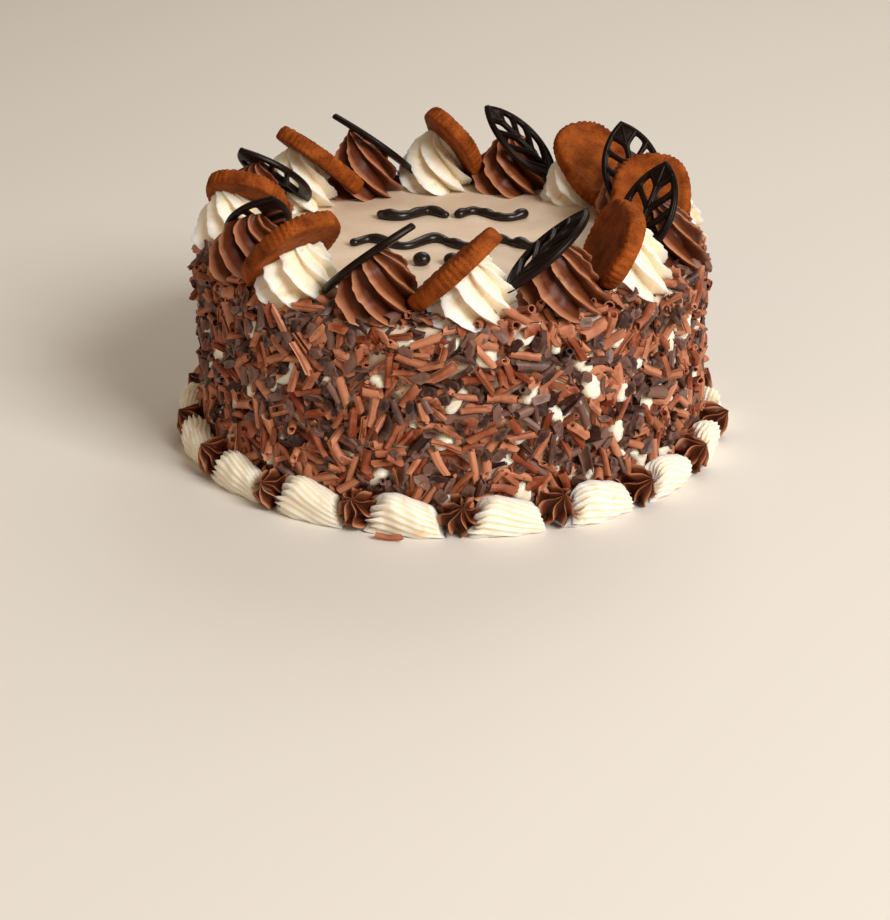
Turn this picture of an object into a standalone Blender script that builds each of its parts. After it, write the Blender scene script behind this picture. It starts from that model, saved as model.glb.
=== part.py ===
"""Celebration layer cake: a round cream cake in chocolate curls, with a piped ring of rosettes.

The frame is in metres with +Z up. The origin is the middle of the underside. An azimuth is in
degrees, from -Y, the front, towards +X. Sizes below are in millimetres.
"""
import math

import bmesh
import bpy
from mathutils import Matrix, Vector

MM = 0.001
GAP = 0.3  # clearance kept between pieces that touch
WELD = 0.01  # points nearer than this are one point
SHARP_ANGLE = 40.0  # edges that bend more than this aren't shaded smooth

# Cake and its coat of curls
CAKE_RADIUS = 126.0
CAKE_HEIGHT = 98.0
CAKE_EDGE = 3.0
TURN_STEPS = 48
COAT_RADIUS = 131.4
COAT_TOP = 97.4
COAT_UNEVEN = 1.3
COAT_BAND_RADIUS = 130.2  # behind the border the coat is even
COAT_BAND_HEIGHT = 24.0
COAT_ROWS = 4

# Piped rosettes, cream and chocolate by turns
ROSETTE_COUNT = 16
ROSETTE_FIRST_AZIMUTH = 5.0
ROSETTE_RING_RADIUS = 110.5
ROSETTE_RADIUS = 21.3
ROSETTE_HEIGHT = 36.0
ROSETTE_RIDGES = 8
ROSETTE_TWIST = -95.0  # the ridges turn clockwise going up
ROSETTE_GROOVE = 0.2

# Toppings that lean on the rosettes
BISCUIT_LENGTH = 58.0
BISCUIT_WIDTH = 41.0
BISCUIT_THICKNESS = 8.5
BISCUIT_ROUNDING = 1.4
BISCUIT_SCALLOPS = 11
BISCUIT_SCALLOP_DEPTH = 0.7
BISCUIT_SQUARENESS = 2.6  # exponent of the rounded oval: 2 is an ellipse
LEAF_LENGTH = 57.0
LEAF_WIDTH = 32.0
LEAF_THICKNESS = 2.8
LEAF_RIM = 3.2
LEAF_RIB = 3.0
LEAF_VEIN = 2.8
LEAF_OPENINGS = 3  # on each side of the midrib
LEAF_LOWEST_OPENING = -19.0
LEAF_OPENING_PITCH = 12.0
LEAF_SIDE_POINTS = 8
NOTCH_REACH = 46.0  # how far a topping's notch runs through the cream

# Piped border round the foot
BORDER_PAIRS = 18
BORDER_FIRST_AZIMUTH = 1.5
BORDER_BACK_RADIUS = COAT_BAND_RADIUS + GAP
RIDGE_UP = 90.0  # turn of a star outline that puts a ridge on top
SHELL_START = 2.6  # degrees past the middle of the star
SHELL_END = 15.8  # degrees past the middle of the star
SHELL_HEIGHT = 18.0
SHELL_DEPTH = 17.0
SHELL_RIDGES = 4
SHELL_GROOVE = 0.14
SHELL_MIDDLE = 0.42  # share of the height that the widest line of the shell lies at
STAR_RIDGES = 7
STAR_RADIUS = 9.2
STAR_LENGTH = 18.0
STAR_SLOPE = 45.0
STAR_GROOVE = 0.3
STAR_FOOT_RADIUS = 132.5
STAR_FOOT_HEIGHT = 5.5

# Piped ornament in the middle of the top
LINE_DIAMETER = 6.0
SCROLL_SPAN = 34.0
SCROLL_Y = 47.0
SCROLL_SWING = 7.0
SCROLL_START = 4.0  # from the middle of the top
SCROLL_FADE = 0.35  # share of the swing lost by the end
SCROLL_STEPS = 10
WAVE_SPAN = 100.0
WAVE_Y = -3.0
WAVE_SWING = 6.0
WAVE_PERIODS = 3
WAVE_STEPS = 8  # points in each period
BEAD_DIAMETER = 9.0
BEAD_SEGMENTS = 8
BEAD_Y = -34.0
BEAD_PITCH = 15.0
BEAD_COUNT = 3


def leaning(azimuth, outward, along, height, lean, tip, spin):
    """One topping's seat, measured from the foot of its own rosette.

    The topping is pushed in by hand, so each has its own seat: its middle is outward and along the
    ring from the rosette's axis, at a height over the cake; it leans along the ring, tips about its
    own length, and is spun in its own plane.
    """
    return {"azimuth": azimuth, "outward": outward, "along": along, "height": height,
            "lean": lean, "tip": tip, "spin": spin}


BISCUIT_SEATS = [
    leaning(5.0, outward=2.5, along=-9.0, height=23.0, lean=42.5, tip=-14.0, spin=39.5),
    leaning(50.0, outward=-5.0, along=-8.0, height=23.5, lean=55.0, tip=-38.0, spin=-69.0),
    leaning(95.0, outward=-9.0, along=-4.5, height=22.5, lean=35.0, tip=-7.0, spin=9.0),
    leaning(140.0, outward=0.0, along=-11.0, height=21.5, lean=32.0, tip=-16.0, spin=15.0),
    leaning(185.0, outward=-3.0, along=-11.0, height=25.0, lean=51.0, tip=16.0, spin=-55.0),
    leaning(230.0, outward=-7.0, along=-11.5, height=24.0, lean=38.0, tip=-13.0, spin=2.0),
    leaning(275.0, outward=-8.0, along=-7.0, height=22.5, lean=40.5, tip=-13.5, spin=11.0),
    leaning(320.0, outward=1.0, along=-4.5, height=23.0, lean=43.5, tip=-8.5, spin=4.5),
]
LEAF_SEATS = [
    leaning(27.5, outward=-3.5, along=-6.0, height=28.0, lean=34.0, tip=-14.0, spin=-11.0),
    leaning(72.5, outward=-8.5, along=-8.0, height=27.0, lean=53.0, tip=-21.0, spin=13.0),
    leaning(117.5, outward=-5.5, along=-5.5, height=26.0, lean=58.0, tip=-23.0, spin=1.0),
    leaning(162.5, outward=-2.5, along=-6.5, height=27.5, lean=43.0, tip=-12.0, spin=-2.0),
    leaning(207.5, outward=-2.0, along=-7.5, height=27.0, lean=38.0, tip=-2.0, spin=13.0),
    leaning(252.5, outward=-9.0, along=-10.0, height=25.0, lean=39.0, tip=-8.0, spin=22.0),
    leaning(297.5, outward=-6.0, along=-3.5, height=23.0, lean=44.0, tip=-14.0, spin=-2.0),
    leaning(342.5, outward=-2.0, along=-6.0, height=25.0, lean=39.0, tip=-4.0, spin=-3.0),
]


# Scene and finishes

def clear_scene():
    for item in list(bpy.data.objects):
        bpy.data.objects.remove(item, do_unlink=True)


def new_collection(name):
    collection = bpy.data.collections.new(name)
    bpy.context.scene.collection.children.link(collection)
    return collection


def material(name, colour, roughness):
    finish = bpy.data.materials.new(name)
    finish.use_nodes = True
    shader = finish.node_tree.nodes["Principled BSDF"]
    shader.inputs["Base Color"].default_value = (*colour, 1.0)
    shader.inputs["Roughness"].default_value = roughness
    shader.inputs["Metallic"].default_value = 0.0
    finish.diffuse_color = (*colour, 1.0)
    return finish


def add_mesh(name, bm, collection, finish=None, matrix=None):
    """Turn a bmesh in millimetres into an object in metres."""
    bmesh.ops.recalc_face_normals(bm, faces=bm.faces)
    bmesh.ops.scale(bm, vec=(MM, MM, MM), verts=bm.verts)
    mesh = bpy.data.meshes.new(name)
    bm.to_mesh(mesh)
    bm.free()
    return add_object(name, mesh, collection, finish, matrix)


def add_object(name, mesh, collection, finish=None, matrix=None):
    item = bpy.data.objects.new(name, mesh)
    if finish:
        mesh.materials.append(finish)
    if matrix:
        item.matrix_world = matrix
    collection.objects.link(item)
    return item


def smooth(item):
    item.data.shade_smooth()
    item.data.set_sharp_from_angle(angle=math.radians(SHARP_ANGLE))


def mesh_from_curve(curve):
    """The closed mesh of a curve object with its caps welded; the curve itself is removed."""
    bpy.context.view_layer.update()
    evaluated = curve.evaluated_get(bpy.context.evaluated_depsgraph_get())
    mesh = bpy.data.meshes.new_from_object(evaluated)
    mesh.transform(curve.matrix_world)
    bm = bmesh.new()
    bm.from_mesh(mesh)
    bmesh.ops.remove_doubles(bm, verts=bm.verts, dist=WELD * MM)
    bmesh.ops.recalc_face_normals(bm, faces=bm.faces)
    bm.to_mesh(mesh)
    bm.free()
    bpy.data.objects.remove(curve, do_unlink=True)
    return mesh


def add_boolean(item, other, operation):
    step = item.modifiers.new(f"{operation.lower()}_{other.name}", "BOOLEAN")
    step.operation = operation
    step.solver = "EXACT"
    step.object = other


def as_cutter(item):
    item.hide_render = True
    item.display_type = "WIRE"
    return item


# Placing

def turned(azimuth):
    """Turn a piece that is modelled at the front round to its azimuth."""
    return Matrix.Rotation(math.radians(azimuth), 4, "Z")


def moved(x, y, z):
    return Matrix.Translation(Vector((x, y, z)) * MM)


def rosette_place(azimuth):
    return turned(azimuth) @ moved(0.0, -ROSETTE_RING_RADIUS, CAKE_HEIGHT + GAP)


def seat_place(seat):
    """Where a topping's own frame goes: X its width, Y its length, Z out of its upper face."""
    middle = moved(seat["along"], -(ROSETTE_RING_RADIUS + seat["outward"]), CAKE_HEIGHT + seat["height"])
    lean = Matrix.Rotation(-math.radians(seat["lean"]), 4, "Y") @ Matrix.Rotation(-math.pi / 2, 4, "Z")
    tip = Matrix.Rotation(math.radians(seat["tip"]), 4, "Y")
    spin = Matrix.Rotation(-math.radians(seat["spin"]), 4, "Z")
    return turned(seat["azimuth"]) @ middle @ lean @ tip @ spin


# Shape helpers

def loft(rings, point=None):
    """Skin a row of rings with equal numbers of points, closed by a face or a point at the end."""
    bm = bmesh.new()
    rows = [[bm.verts.new(place) for place in ring] for ring in rings]
    count = len(rows[0])
    bm.faces.new(rows[0])
    for lower, upper in zip(rows, rows[1:]):
        for i in range(count):
            j = (i + 1) % count
            bm.faces.new((lower[i], lower[j], upper[j], upper[i]))
    if point is None:
        bm.faces.new(rows[-1])
    else:
        end = bm.verts.new(point)
        for i in range(count):
            bm.faces.new((rows[-1][i], rows[-1][(i + 1) % count], end))
    bmesh.ops.triangulate(bm, faces=[face for face in bm.faces if len(face.verts) > 4])
    return bm


def star_ring(radius, ridges, groove, twist):
    """A star outline: a crest and a groove for each ridge of the piping tube."""
    points = []
    for i in range(2 * ridges):
        angle = math.pi * i / ridges + math.radians(twist)
        reach = radius if i % 2 == 0 else radius * (1.0 - groove)
        points.append((reach * math.cos(angle), reach * math.sin(angle)))
    return points


def poly_curve(name, outlines, collection, cyclic, dimensions):
    """A curve object in metres with one straight-sided spline for each outline."""
    curve = bpy.data.curves.new(name, "CURVE")
    curve.dimensions = dimensions
    for outline in outlines:
        spline = curve.splines.new("POLY")
        spline.points.add(len(outline) - 1)
        for point, place in zip(spline.points, outline):
            point.co = (*(Vector(place).to_3d() * MM), 1.0)
        spline.use_cyclic_u = cyclic
    item = bpy.data.objects.new(name, curve)
    collection.objects.link(item)
    return item


def flat_mesh(name, outlines, thickness, collection, rounding=0.0):
    """A plate through the first outline, open inside the others, about its middle plane."""
    item = poly_curve(name, outlines, collection, cyclic=True, dimensions="2D")
    item.data.fill_mode = "BOTH"
    item.data.extrude = (thickness / 2 - rounding) * MM
    item.data.bevel_depth = rounding * MM
    item.data.bevel_resolution = 0
    return mesh_from_curve(item)


def tube_mesh(name, path, diameter, collection):
    item = poly_curve(name, [path], collection, cyclic=False, dimensions="3D")
    item.data.bevel_depth = diameter / 2 * MM
    item.data.bevel_resolution = 1
    item.data.use_fill_caps = True
    return mesh_from_curve(item)


# Cake and coat

def make_cake(collection, finish):
    """The turned cake: a profile from the middle of the top, out and down to the underside."""
    bm = bmesh.new()
    profile = [(0.0, CAKE_HEIGHT), (CAKE_RADIUS - CAKE_EDGE, CAKE_HEIGHT),
               (CAKE_RADIUS, CAKE_HEIGHT - CAKE_EDGE), (CAKE_RADIUS, 0.0), (0.0, 0.0)]
    verts = [bm.verts.new((x, 0.0, z)) for x, z in profile]
    for upper, lower in zip(verts, verts[1:]):
        bm.edges.new((upper, lower))
    item = add_mesh("cake_body", bm, collection, finish)
    turn = item.modifiers.new("turn", "SCREW")
    turn.steps = TURN_STEPS
    turn.render_steps = TURN_STEPS
    turn.use_merge_vertices = True
    turn.merge_threshold = WELD * MM
    turn.use_smooth_shade = True


def coat_reach(angle, row):
    """The uneven outer radius of the coat: three waves that fall differently on each row."""
    swell = (math.sin(7 * angle + 1.9 * row) + math.sin(11 * angle - 1.3 * row)
             + math.sin(16 * angle + 2.7 * row))
    return COAT_RADIUS + COAT_UNEVEN * swell / 3


def make_coat(collection, finish):
    """The ring of curls, out to their uneven outline, with an even band behind the border."""
    heights = [COAT_BAND_HEIGHT + (COAT_TOP - COAT_BAND_HEIGHT) * (row + 1) / COAT_ROWS
               for row in range(COAT_ROWS)]
    bm = bmesh.new()
    columns = []
    for step in range(TURN_STEPS):
        angle = 2 * math.pi * step / TURN_STEPS
        section = [(CAKE_RADIUS + GAP, 0.0), (COAT_BAND_RADIUS, 0.0), (COAT_BAND_RADIUS, COAT_BAND_HEIGHT)]
        section += [(coat_reach(angle, row), height) for row, height in enumerate(heights)]
        section += [(CAKE_RADIUS + GAP, COAT_TOP)]
        columns.append([bm.verts.new((r * math.cos(angle), r * math.sin(angle), z)) for r, z in section])
    count = len(columns[0])
    for step, column in enumerate(columns):
        after = columns[(step + 1) % TURN_STEPS]
        for i in range(count):
            j = (i + 1) % count
            bm.faces.new((column[i], after[i], after[j], column[j]))
    smooth(add_mesh("curl_coat", bm, collection, finish))


# Rosettes

def rosette_bmesh():
    """A swirl piped from a star tube: it swells over its foot and draws in to a twisted tip."""
    # share of the height, share of the radius
    profile = [(0.0, 0.92), (0.16, 1.0), (0.5, 0.76), (0.8, 0.36)]
    rings = []
    for rise, reach in profile:
        outline = star_ring(ROSETTE_RADIUS * reach, ROSETTE_RIDGES, ROSETTE_GROOVE, ROSETTE_TWIST * rise)
        rings.append([(x, y, ROSETTE_HEIGHT * rise) for x, y in outline])
    return loft(rings, point=(0.0, 0.0, ROSETTE_HEIGHT))


def make_rosette(name, azimuth, notches, collection, finish):
    item = add_mesh(name, rosette_bmesh(), collection, finish, rosette_place(azimuth))
    smooth(item)
    for notch in notches:
        add_boolean(item, notch, "DIFFERENCE")


# Biscuits and leaves

def oval_outline(length, width, points, scallop):
    """A rounded oval whose edge goes in by the scallop depth at every second point."""
    outline = []
    for i in range(points):
        angle = 2 * math.pi * i / points
        c, s = math.cos(angle), math.sin(angle)
        dip = scallop if i % 2 else 0.0
        x = math.copysign(abs(c) ** (2 / BISCUIT_SQUARENESS), c) * (width / 2 - dip)
        y = math.copysign(abs(s) ** (2 / BISCUIT_SQUARENESS), s) * (length / 2 - dip)
        outline.append((x, y))
    return outline


def biscuit_outline(grow=0.0, scallop=BISCUIT_SCALLOP_DEPTH):
    return oval_outline(BISCUIT_LENGTH + 2 * grow, BISCUIT_WIDTH + 2 * grow, 2 * BISCUIT_SCALLOPS, scallop)


def leaf_half_width(y, length, width):
    """Half the width of a leaf between two equal arcs, at a distance y from its middle."""
    bow = (length * length + width * width) / (4 * width)
    return math.sqrt(max(bow * bow - y * y, 0.0)) - (bow - width / 2)


def leaf_outline(grow=0.0):
    length, width = LEAF_LENGTH + 2 * grow, LEAF_WIDTH + 2 * grow
    right = []
    for i in range(LEAF_SIDE_POINTS + 1):
        y = -length / 2 + length * i / LEAF_SIDE_POINTS
        right.append((leaf_half_width(y, length, width), y))
    left = [(-x, y) for x, y in reversed(right[1:-1])]
    return right + left


def rim_crossing(start):
    """Where a vein's edge, rising at 45 degrees from the midrib at a height, meets the inner rim."""
    near, far = LEAF_RIB / 2, LEAF_WIDTH / 2
    for _ in range(30):
        x = (near + far) / 2
        if x < leaf_half_width(start + x, LEAF_LENGTH, LEAF_WIDTH) - LEAF_RIM:
            near = x
        else:
            far = x
    return near


def leaf_openings():
    """The openings between the veins, one for each side at each step up the midrib."""
    openings = []
    inner = LEAF_RIB / 2
    for step in range(LEAF_OPENINGS):
        low = LEAF_LOWEST_OPENING + LEAF_OPENING_PITCH * step
        high = low + LEAF_OPENING_PITCH - LEAF_VEIN * math.sqrt(2)
        low_rim, high_rim = rim_crossing(low), rim_crossing(high)
        corners = [(inner, low + inner), (low_rim, low + low_rim), (high_rim, high + high_rim),
                   (inner, high + inner)]
        openings.append(corners)
        openings.append([(-x, y) for x, y in corners])
    return openings


def make_notches(name, outline, thickness, seat, collection):
    """The two notches that a topping makes: in its own rosette, and in the one that it stands by.

    The first runs from its under face up through the swirl's tip. The second runs from its upper
    face down, where its foot goes into the neighbour.
    """
    notches = []
    for side, direction in (("above", 1), ("below", -1)):
        mesh = flat_mesh(f"{name}_{side}", [outline], NOTCH_REACH, collection)
        start = direction * (NOTCH_REACH / 2 - thickness / 2 - GAP)
        place = seat_place(seat) @ moved(0.0, 0.0, start)
        notches.append(as_cutter(add_object(f"{name}_{side}", mesh, collection, matrix=place)))
    return notches


# Border

def outside_coat(place):
    """Keep a point of the border off the coat and on or above the table."""
    x, y, z = place
    reach = math.hypot(x, y)
    if reach < BORDER_BACK_RADIUS:
        x, y = x * BORDER_BACK_RADIUS / reach, y * BORDER_BACK_RADIUS / reach
    return (x, y, max(z, 0.0))


def star_bmesh():
    """A star drop pressed against the foot of the coat, its tip up and out."""
    # share of the length, share of the radius
    profile = [(0.0, 0.85), (0.35, 1.0), (0.7, 0.72)]
    slope = math.radians(STAR_SLOPE)
    forward = Vector((0.0, -math.cos(slope), math.sin(slope)))
    upward = Vector((0.0, math.sin(slope), math.cos(slope)))
    foot = Vector((0.0, -STAR_FOOT_RADIUS, STAR_FOOT_HEIGHT))
    rings = []
    for along, reach in profile:
        middle = foot + forward * STAR_LENGTH * along
        outline = star_ring(STAR_RADIUS * reach, STAR_RIDGES, STAR_GROOVE, RIDGE_UP)
        rings.append([outside_coat(middle + Vector((x, 0.0, 0.0)) + upward * y) for x, y in outline])
    return loft(rings, point=foot + forward * STAR_LENGTH)


def shell_bmesh():
    """A shell piped along the foot of the coat: a full head, long ridges and a lower tail."""
    # share of the way along, share of the full section
    profile = [(0.0, 0.55), (0.2, 0.95), (0.5, 1.0), (0.8, 0.78), (1.0, 0.42)]
    rings = []
    for along, reach in profile:
        azimuth = math.radians(SHELL_START + (SHELL_END - SHELL_START) * along)
        ring = []
        for x, y in star_ring(reach, SHELL_RIDGES, SHELL_GROOVE, RIDGE_UP):
            radius = BORDER_BACK_RADIUS + SHELL_DEPTH / 2 * (1.0 + x)
            height = SHELL_HEIGHT * (SHELL_MIDDLE * reach + y / 2)
            ring.append(outside_coat((radius * math.sin(azimuth), -radius * math.cos(azimuth), height)))
        rings.append(ring)
    return loft(rings)


def make_border_pair(number, collection, cutters, finish):
    """A chocolate star and the cream shell beside it, which run into each other."""
    place = turned(BORDER_FIRST_AZIMUTH + 360.0 / BORDER_PAIRS * number)
    shell = add_mesh(f"shell_tool_{number + 1}", shell_bmesh(), cutters, matrix=place)
    pair = add_mesh(f"border_{number + 1}", star_bmesh(), collection, finish, place)
    smooth(pair)
    add_boolean(pair, as_cutter(shell), "UNION")


# Ornament

def scroll_path(side):
    """Half of the back scroll: a curl by the middle that runs out to a hook at the end."""
    points = []
    for i in range(SCROLL_STEPS + 1):
        along = i / SCROLL_STEPS
        swing = SCROLL_SWING * (1.0 - SCROLL_FADE * along)
        points.append((side * (SCROLL_START + SCROLL_SPAN * along),
                       SCROLL_Y + swing * math.sin(2 * math.pi * along), 0.0))
    return points


def wave_path():
    points = []
    steps = WAVE_STEPS * WAVE_PERIODS
    for i in range(steps + 1):
        along = i / steps
        x = WAVE_SPAN * (along - 0.5)
        points.append((x, WAVE_Y + WAVE_SWING * math.sin(2 * math.pi * WAVE_PERIODS * along), 0.0))
    return points


def make_ornament(collection, finish):
    paths = {"scroll_right": scroll_path(1), "scroll_left": scroll_path(-1), "wave": wave_path()}
    for name, path in paths.items():
        mesh = tube_mesh(name, path, LINE_DIAMETER, collection)
        smooth(add_object(name, mesh, collection, finish,
                          moved(0.0, 0.0, CAKE_HEIGHT + GAP + LINE_DIAMETER / 2)))
    for number in range(BEAD_COUNT):
        bm = bmesh.new()
        bmesh.ops.create_uvsphere(bm, u_segments=BEAD_SEGMENTS, v_segments=BEAD_SEGMENTS,
                                  radius=BEAD_DIAMETER / 2)
        x = BEAD_PITCH * (number - (BEAD_COUNT - 1) / 2)
        smooth(add_mesh(f"bead_{number + 1}", bm, collection, finish,
                        moved(x, BEAD_Y, CAKE_HEIGHT + GAP + BEAD_DIAMETER / 2)))


def main():
    clear_scene()
    cake = new_collection("layer_cake")
    cutters = new_collection("cutters")
    cream = material("cream", (0.82, 0.74, 0.58), 0.45)
    chocolate_cream = material("chocolate_cream", (0.16, 0.06, 0.035), 0.4)
    curls = material("chocolate_curls", (0.2, 0.075, 0.035), 0.5)
    biscuit = material("biscuit", (0.35, 0.13, 0.035), 0.7)
    dark_chocolate = material("dark_chocolate", (0.018, 0.01, 0.008), 0.35)

    make_cake(cake, cream)
    make_coat(cake, curls)

    notches = {}
    # the rounding of a biscuit's edge stands out from its flat outline
    kinds = ((BISCUIT_SEATS, "biscuit", [biscuit_outline(-BISCUIT_ROUNDING)], BISCUIT_THICKNESS,
              biscuit_outline(GAP, 0.0), BISCUIT_ROUNDING, biscuit),
             (LEAF_SEATS, "leaf", [leaf_outline(), *leaf_openings()], LEAF_THICKNESS, leaf_outline(GAP),
              0.0, dark_chocolate))
    for seats, kind, outlines, thickness, clearance, rounding, finish in kinds:
        for number, seat in enumerate(seats, start=1):
            name = f"{kind}_{number}"
            mesh = flat_mesh(name, outlines, thickness, cake, rounding)
            smooth(add_object(name, mesh, cake, finish, seat_place(seat)))
            notches[seat["azimuth"]] = make_notches(f"{name}_notch", clearance, thickness, seat, cutters)

    step = 360.0 / ROSETTE_COUNT
    for number in range(ROSETTE_COUNT):
        azimuth = ROSETTE_FIRST_AZIMUTH + step * number
        above = notches[azimuth % 360.0][0]
        below = notches[(azimuth + step) % 360.0][1]
        creamy = number % 2 == 0
        name = f"cream_rosette_{number // 2 + 1}" if creamy else f"chocolate_rosette_{number // 2 + 1}"
        make_rosette(name, azimuth, (above, below), cake, cream if creamy else chocolate_cream)

    for number in range(BORDER_PAIRS):
        make_border_pair(number, cake, cutters, cream)
    make_ornament(cake, dark_chocolate)


main()
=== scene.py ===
"""Looks of the layer cake: spread and piped cream, chocolate curls, biscuits and chocolate leaves.

Sizes are in millimetres in the cake's own frame: +Z up, the origin in the middle of the underside,
and -Y the front. An azimuth is in degrees, from the front towards +X. Meshes are made in metres.
"""
from __future__ import annotations

import logging
import math
from collections.abc import Callable
from dataclasses import dataclass, field, replace
from enum import Enum
from typing import Any

import bmesh
import bpy
import numpy as np
from mathutils import Matrix, Vector

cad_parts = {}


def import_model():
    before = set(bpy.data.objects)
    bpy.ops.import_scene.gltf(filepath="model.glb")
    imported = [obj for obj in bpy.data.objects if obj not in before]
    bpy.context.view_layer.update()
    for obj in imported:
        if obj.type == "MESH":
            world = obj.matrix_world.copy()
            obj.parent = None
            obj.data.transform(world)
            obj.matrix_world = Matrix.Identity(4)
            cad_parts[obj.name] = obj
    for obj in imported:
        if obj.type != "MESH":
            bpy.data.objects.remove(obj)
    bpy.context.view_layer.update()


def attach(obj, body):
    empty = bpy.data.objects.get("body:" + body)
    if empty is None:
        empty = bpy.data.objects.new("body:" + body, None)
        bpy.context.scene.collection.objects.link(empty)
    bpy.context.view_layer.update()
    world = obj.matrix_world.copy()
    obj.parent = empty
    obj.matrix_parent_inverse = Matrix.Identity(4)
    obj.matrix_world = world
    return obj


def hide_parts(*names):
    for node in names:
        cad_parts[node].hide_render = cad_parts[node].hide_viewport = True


MM = 0.001
TURN = 2.0 * math.pi
BODY = "root"
LOG = logging.getLogger("layer_cake")

# Driving sizes of the cake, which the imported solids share
CAKE_TOP = 98.0
CREAM_RADIUS = 126.2  # the spread cream that shows between the curls
TOP_EDGE = 4.0  # radius of the cream's rounded top edge
ROSETTE_COUNT = 16
ROSETTE_FIRST_AZIMUTH = 5.0
ROSETTE_RING_RADIUS = 110.5
BORDER_PAIRS = 18
BORDER_FIRST_AZIMUTH = 1.5
BORDER_BACK_RADIUS = 130.5


Tree = bpy.types.NodeTree
Socket = bpy.types.NodeSocket
Profile = tuple[tuple[float, float], ...]


class Slot(Enum):
    """The record's material slots."""

    CREAM = "cream"
    CHOCOLATE_CREAM = "chocolate_cream"
    CURLS = "chocolate_curls"
    BISCUIT = "biscuit"
    DARK_CHOCOLATE = "dark_chocolate"


# Numbers and meshes

def smoothstep(x: np.ndarray | float) -> np.ndarray | float:
    """Ease from 0 to 1, clamped outside."""
    x = np.clip(x, 0.0, 1.0)
    return x * x * (3.0 - 2.0 * x)


def profile_at(profile: Profile, place: np.ndarray | float) -> np.ndarray | float:
    """Value of a profile, given by pairs of place and value, at any place between them."""
    return np.interp(place, *zip(*profile))


def ring_at(radius: np.ndarray | float, azimuth: np.ndarray, height: np.ndarray | float) -> np.ndarray:
    """Places at a radius, azimuths in radians and a height, one row for each azimuth."""
    return np.column_stack([radius * np.sin(azimuth), -radius * np.cos(azimuth),
                            np.broadcast_to(height, azimuth.shape)])


@dataclass(frozen=True)
class Wobble:
    """Smooth unevenness in space, as a hand or a palette knife leaves it."""

    seed: int
    wavelength: float
    amplitude: float
    waves: int = 9

    def of(self, number: int) -> Wobble:
        """The same kind of unevenness for one of several pieces."""
        return replace(self, seed=self.seed + number)

    def at(self, points: np.ndarray) -> np.ndarray:
        """Sample the unevenness.

        Args:
            points: places in mm, one row each.

        Returns:
            One value for each place, mostly within the amplitude.
        """
        rng = np.random.default_rng(self.seed)
        ways = rng.normal(size=(self.waves, 3))
        ways /= np.linalg.norm(ways, axis=1)[:, None]
        lengths = self.wavelength * rng.uniform(0.6, 1.6, self.waves)
        phases = rng.uniform(0.0, TURN, self.waves)
        waves = np.sin(points @ (ways * (TURN / lengths)[:, None]).T + phases)
        return self.amplitude * waves.sum(axis=1) / math.sqrt(self.waves)


@dataclass
class Shape:
    """Vertices in mm with the faces between them, and a tone for each vertex."""

    points: np.ndarray
    faces: list[list[int]]
    tones: np.ndarray | None = None

    @staticmethod
    def joined(shapes: list[Shape]) -> Shape:
        """Join shapes into one.

        Args:
            shapes: the shapes, each of which has tones or none has.

        Returns:
            One shape with a separate island for each.
        """
        faces: list[list[int]] = []
        start = 0
        for shape in shapes:
            faces += [[index + start for index in face] for face in shape.faces]
            start += len(shape.points)
        points = np.concatenate([shape.points for shape in shapes])
        if shapes[0].tones is None:
            return Shape(points, faces)
        return Shape(points, faces, np.concatenate([shape.tones for shape in shapes]))


def tube_faces(rows: int, columns: int) -> list[list[int]]:
    """Faces of an open tube of rings.

    Args:
        rows: number of rings, which go up the axis.
        columns: vertices in a ring, anticlockwise as seen from the tube's end.

    Returns:
        The faces, pointing out.
    """
    row, column = np.meshgrid(np.arange(rows - 1), np.arange(columns), indexing="ij")
    after = (column + 1) % columns
    quads = np.stack([row * columns + column, row * columns + after,
                      (row + 1) * columns + after, (row + 1) * columns + column], axis=-1)
    return quads.reshape(-1, 4).tolist()


def capped(points: np.ndarray, columns: int) -> Shape:
    """Close a tube of rings with the two poles that follow them.

    Args:
        points: the rings' vertices in mm, then the pole at the start and the one at the end.
        columns: vertices in a ring.

    Returns:
        The closed shape.
    """
    rows = len(points) // columns
    last, pole = (rows - 1) * columns, rows * columns
    faces = tube_faces(rows, columns)
    faces += [[pole, (i + 1) % columns, i] for i in range(columns)]
    faces += [[pole + 1, last + i, last + (i + 1) % columns] for i in range(columns)]
    return Shape(points, faces)


def widened(points: np.ndarray, by: np.ndarray, core: float) -> np.ndarray:
    """Move places away from the Z axis, by less inside a core.

    Args:
        points: places in mm.
        by: how far each one moves.
        core: the radius inside which the move fades out towards the axis.

    Returns:
        The moved places.
    """
    share = 1.0 + by / np.maximum(np.hypot(points[:, 0], points[:, 1]), core)
    return points * np.column_stack([share, share, np.ones(len(share))])


def azimuth_axes(azimuth: float) -> np.ndarray:
    """Rows: the way round, up, and outward at an azimuth in radians."""
    s, c = math.sin(azimuth), math.cos(azimuth)
    return np.array([[c, s, 0.0], [0.0, 0.0, 1.0], [s, -c, 0.0]])


def turned(points: np.ndarray, azimuth: float) -> np.ndarray:
    """Turn points that are modelled at the front round to an azimuth in degrees."""
    a = math.radians(azimuth)
    turn = np.array([[math.cos(a), -math.sin(a), 0.0], [math.sin(a), math.cos(a), 0.0], [0.0, 0.0, 1.0]])
    return points @ turn.T


def placed(name: str, data: bpy.types.ID) -> bpy.types.Object:
    """Put an object with this data into the scene."""
    item = bpy.data.objects.new(name, data)
    bpy.context.scene.collection.objects.link(item)
    return item


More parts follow.
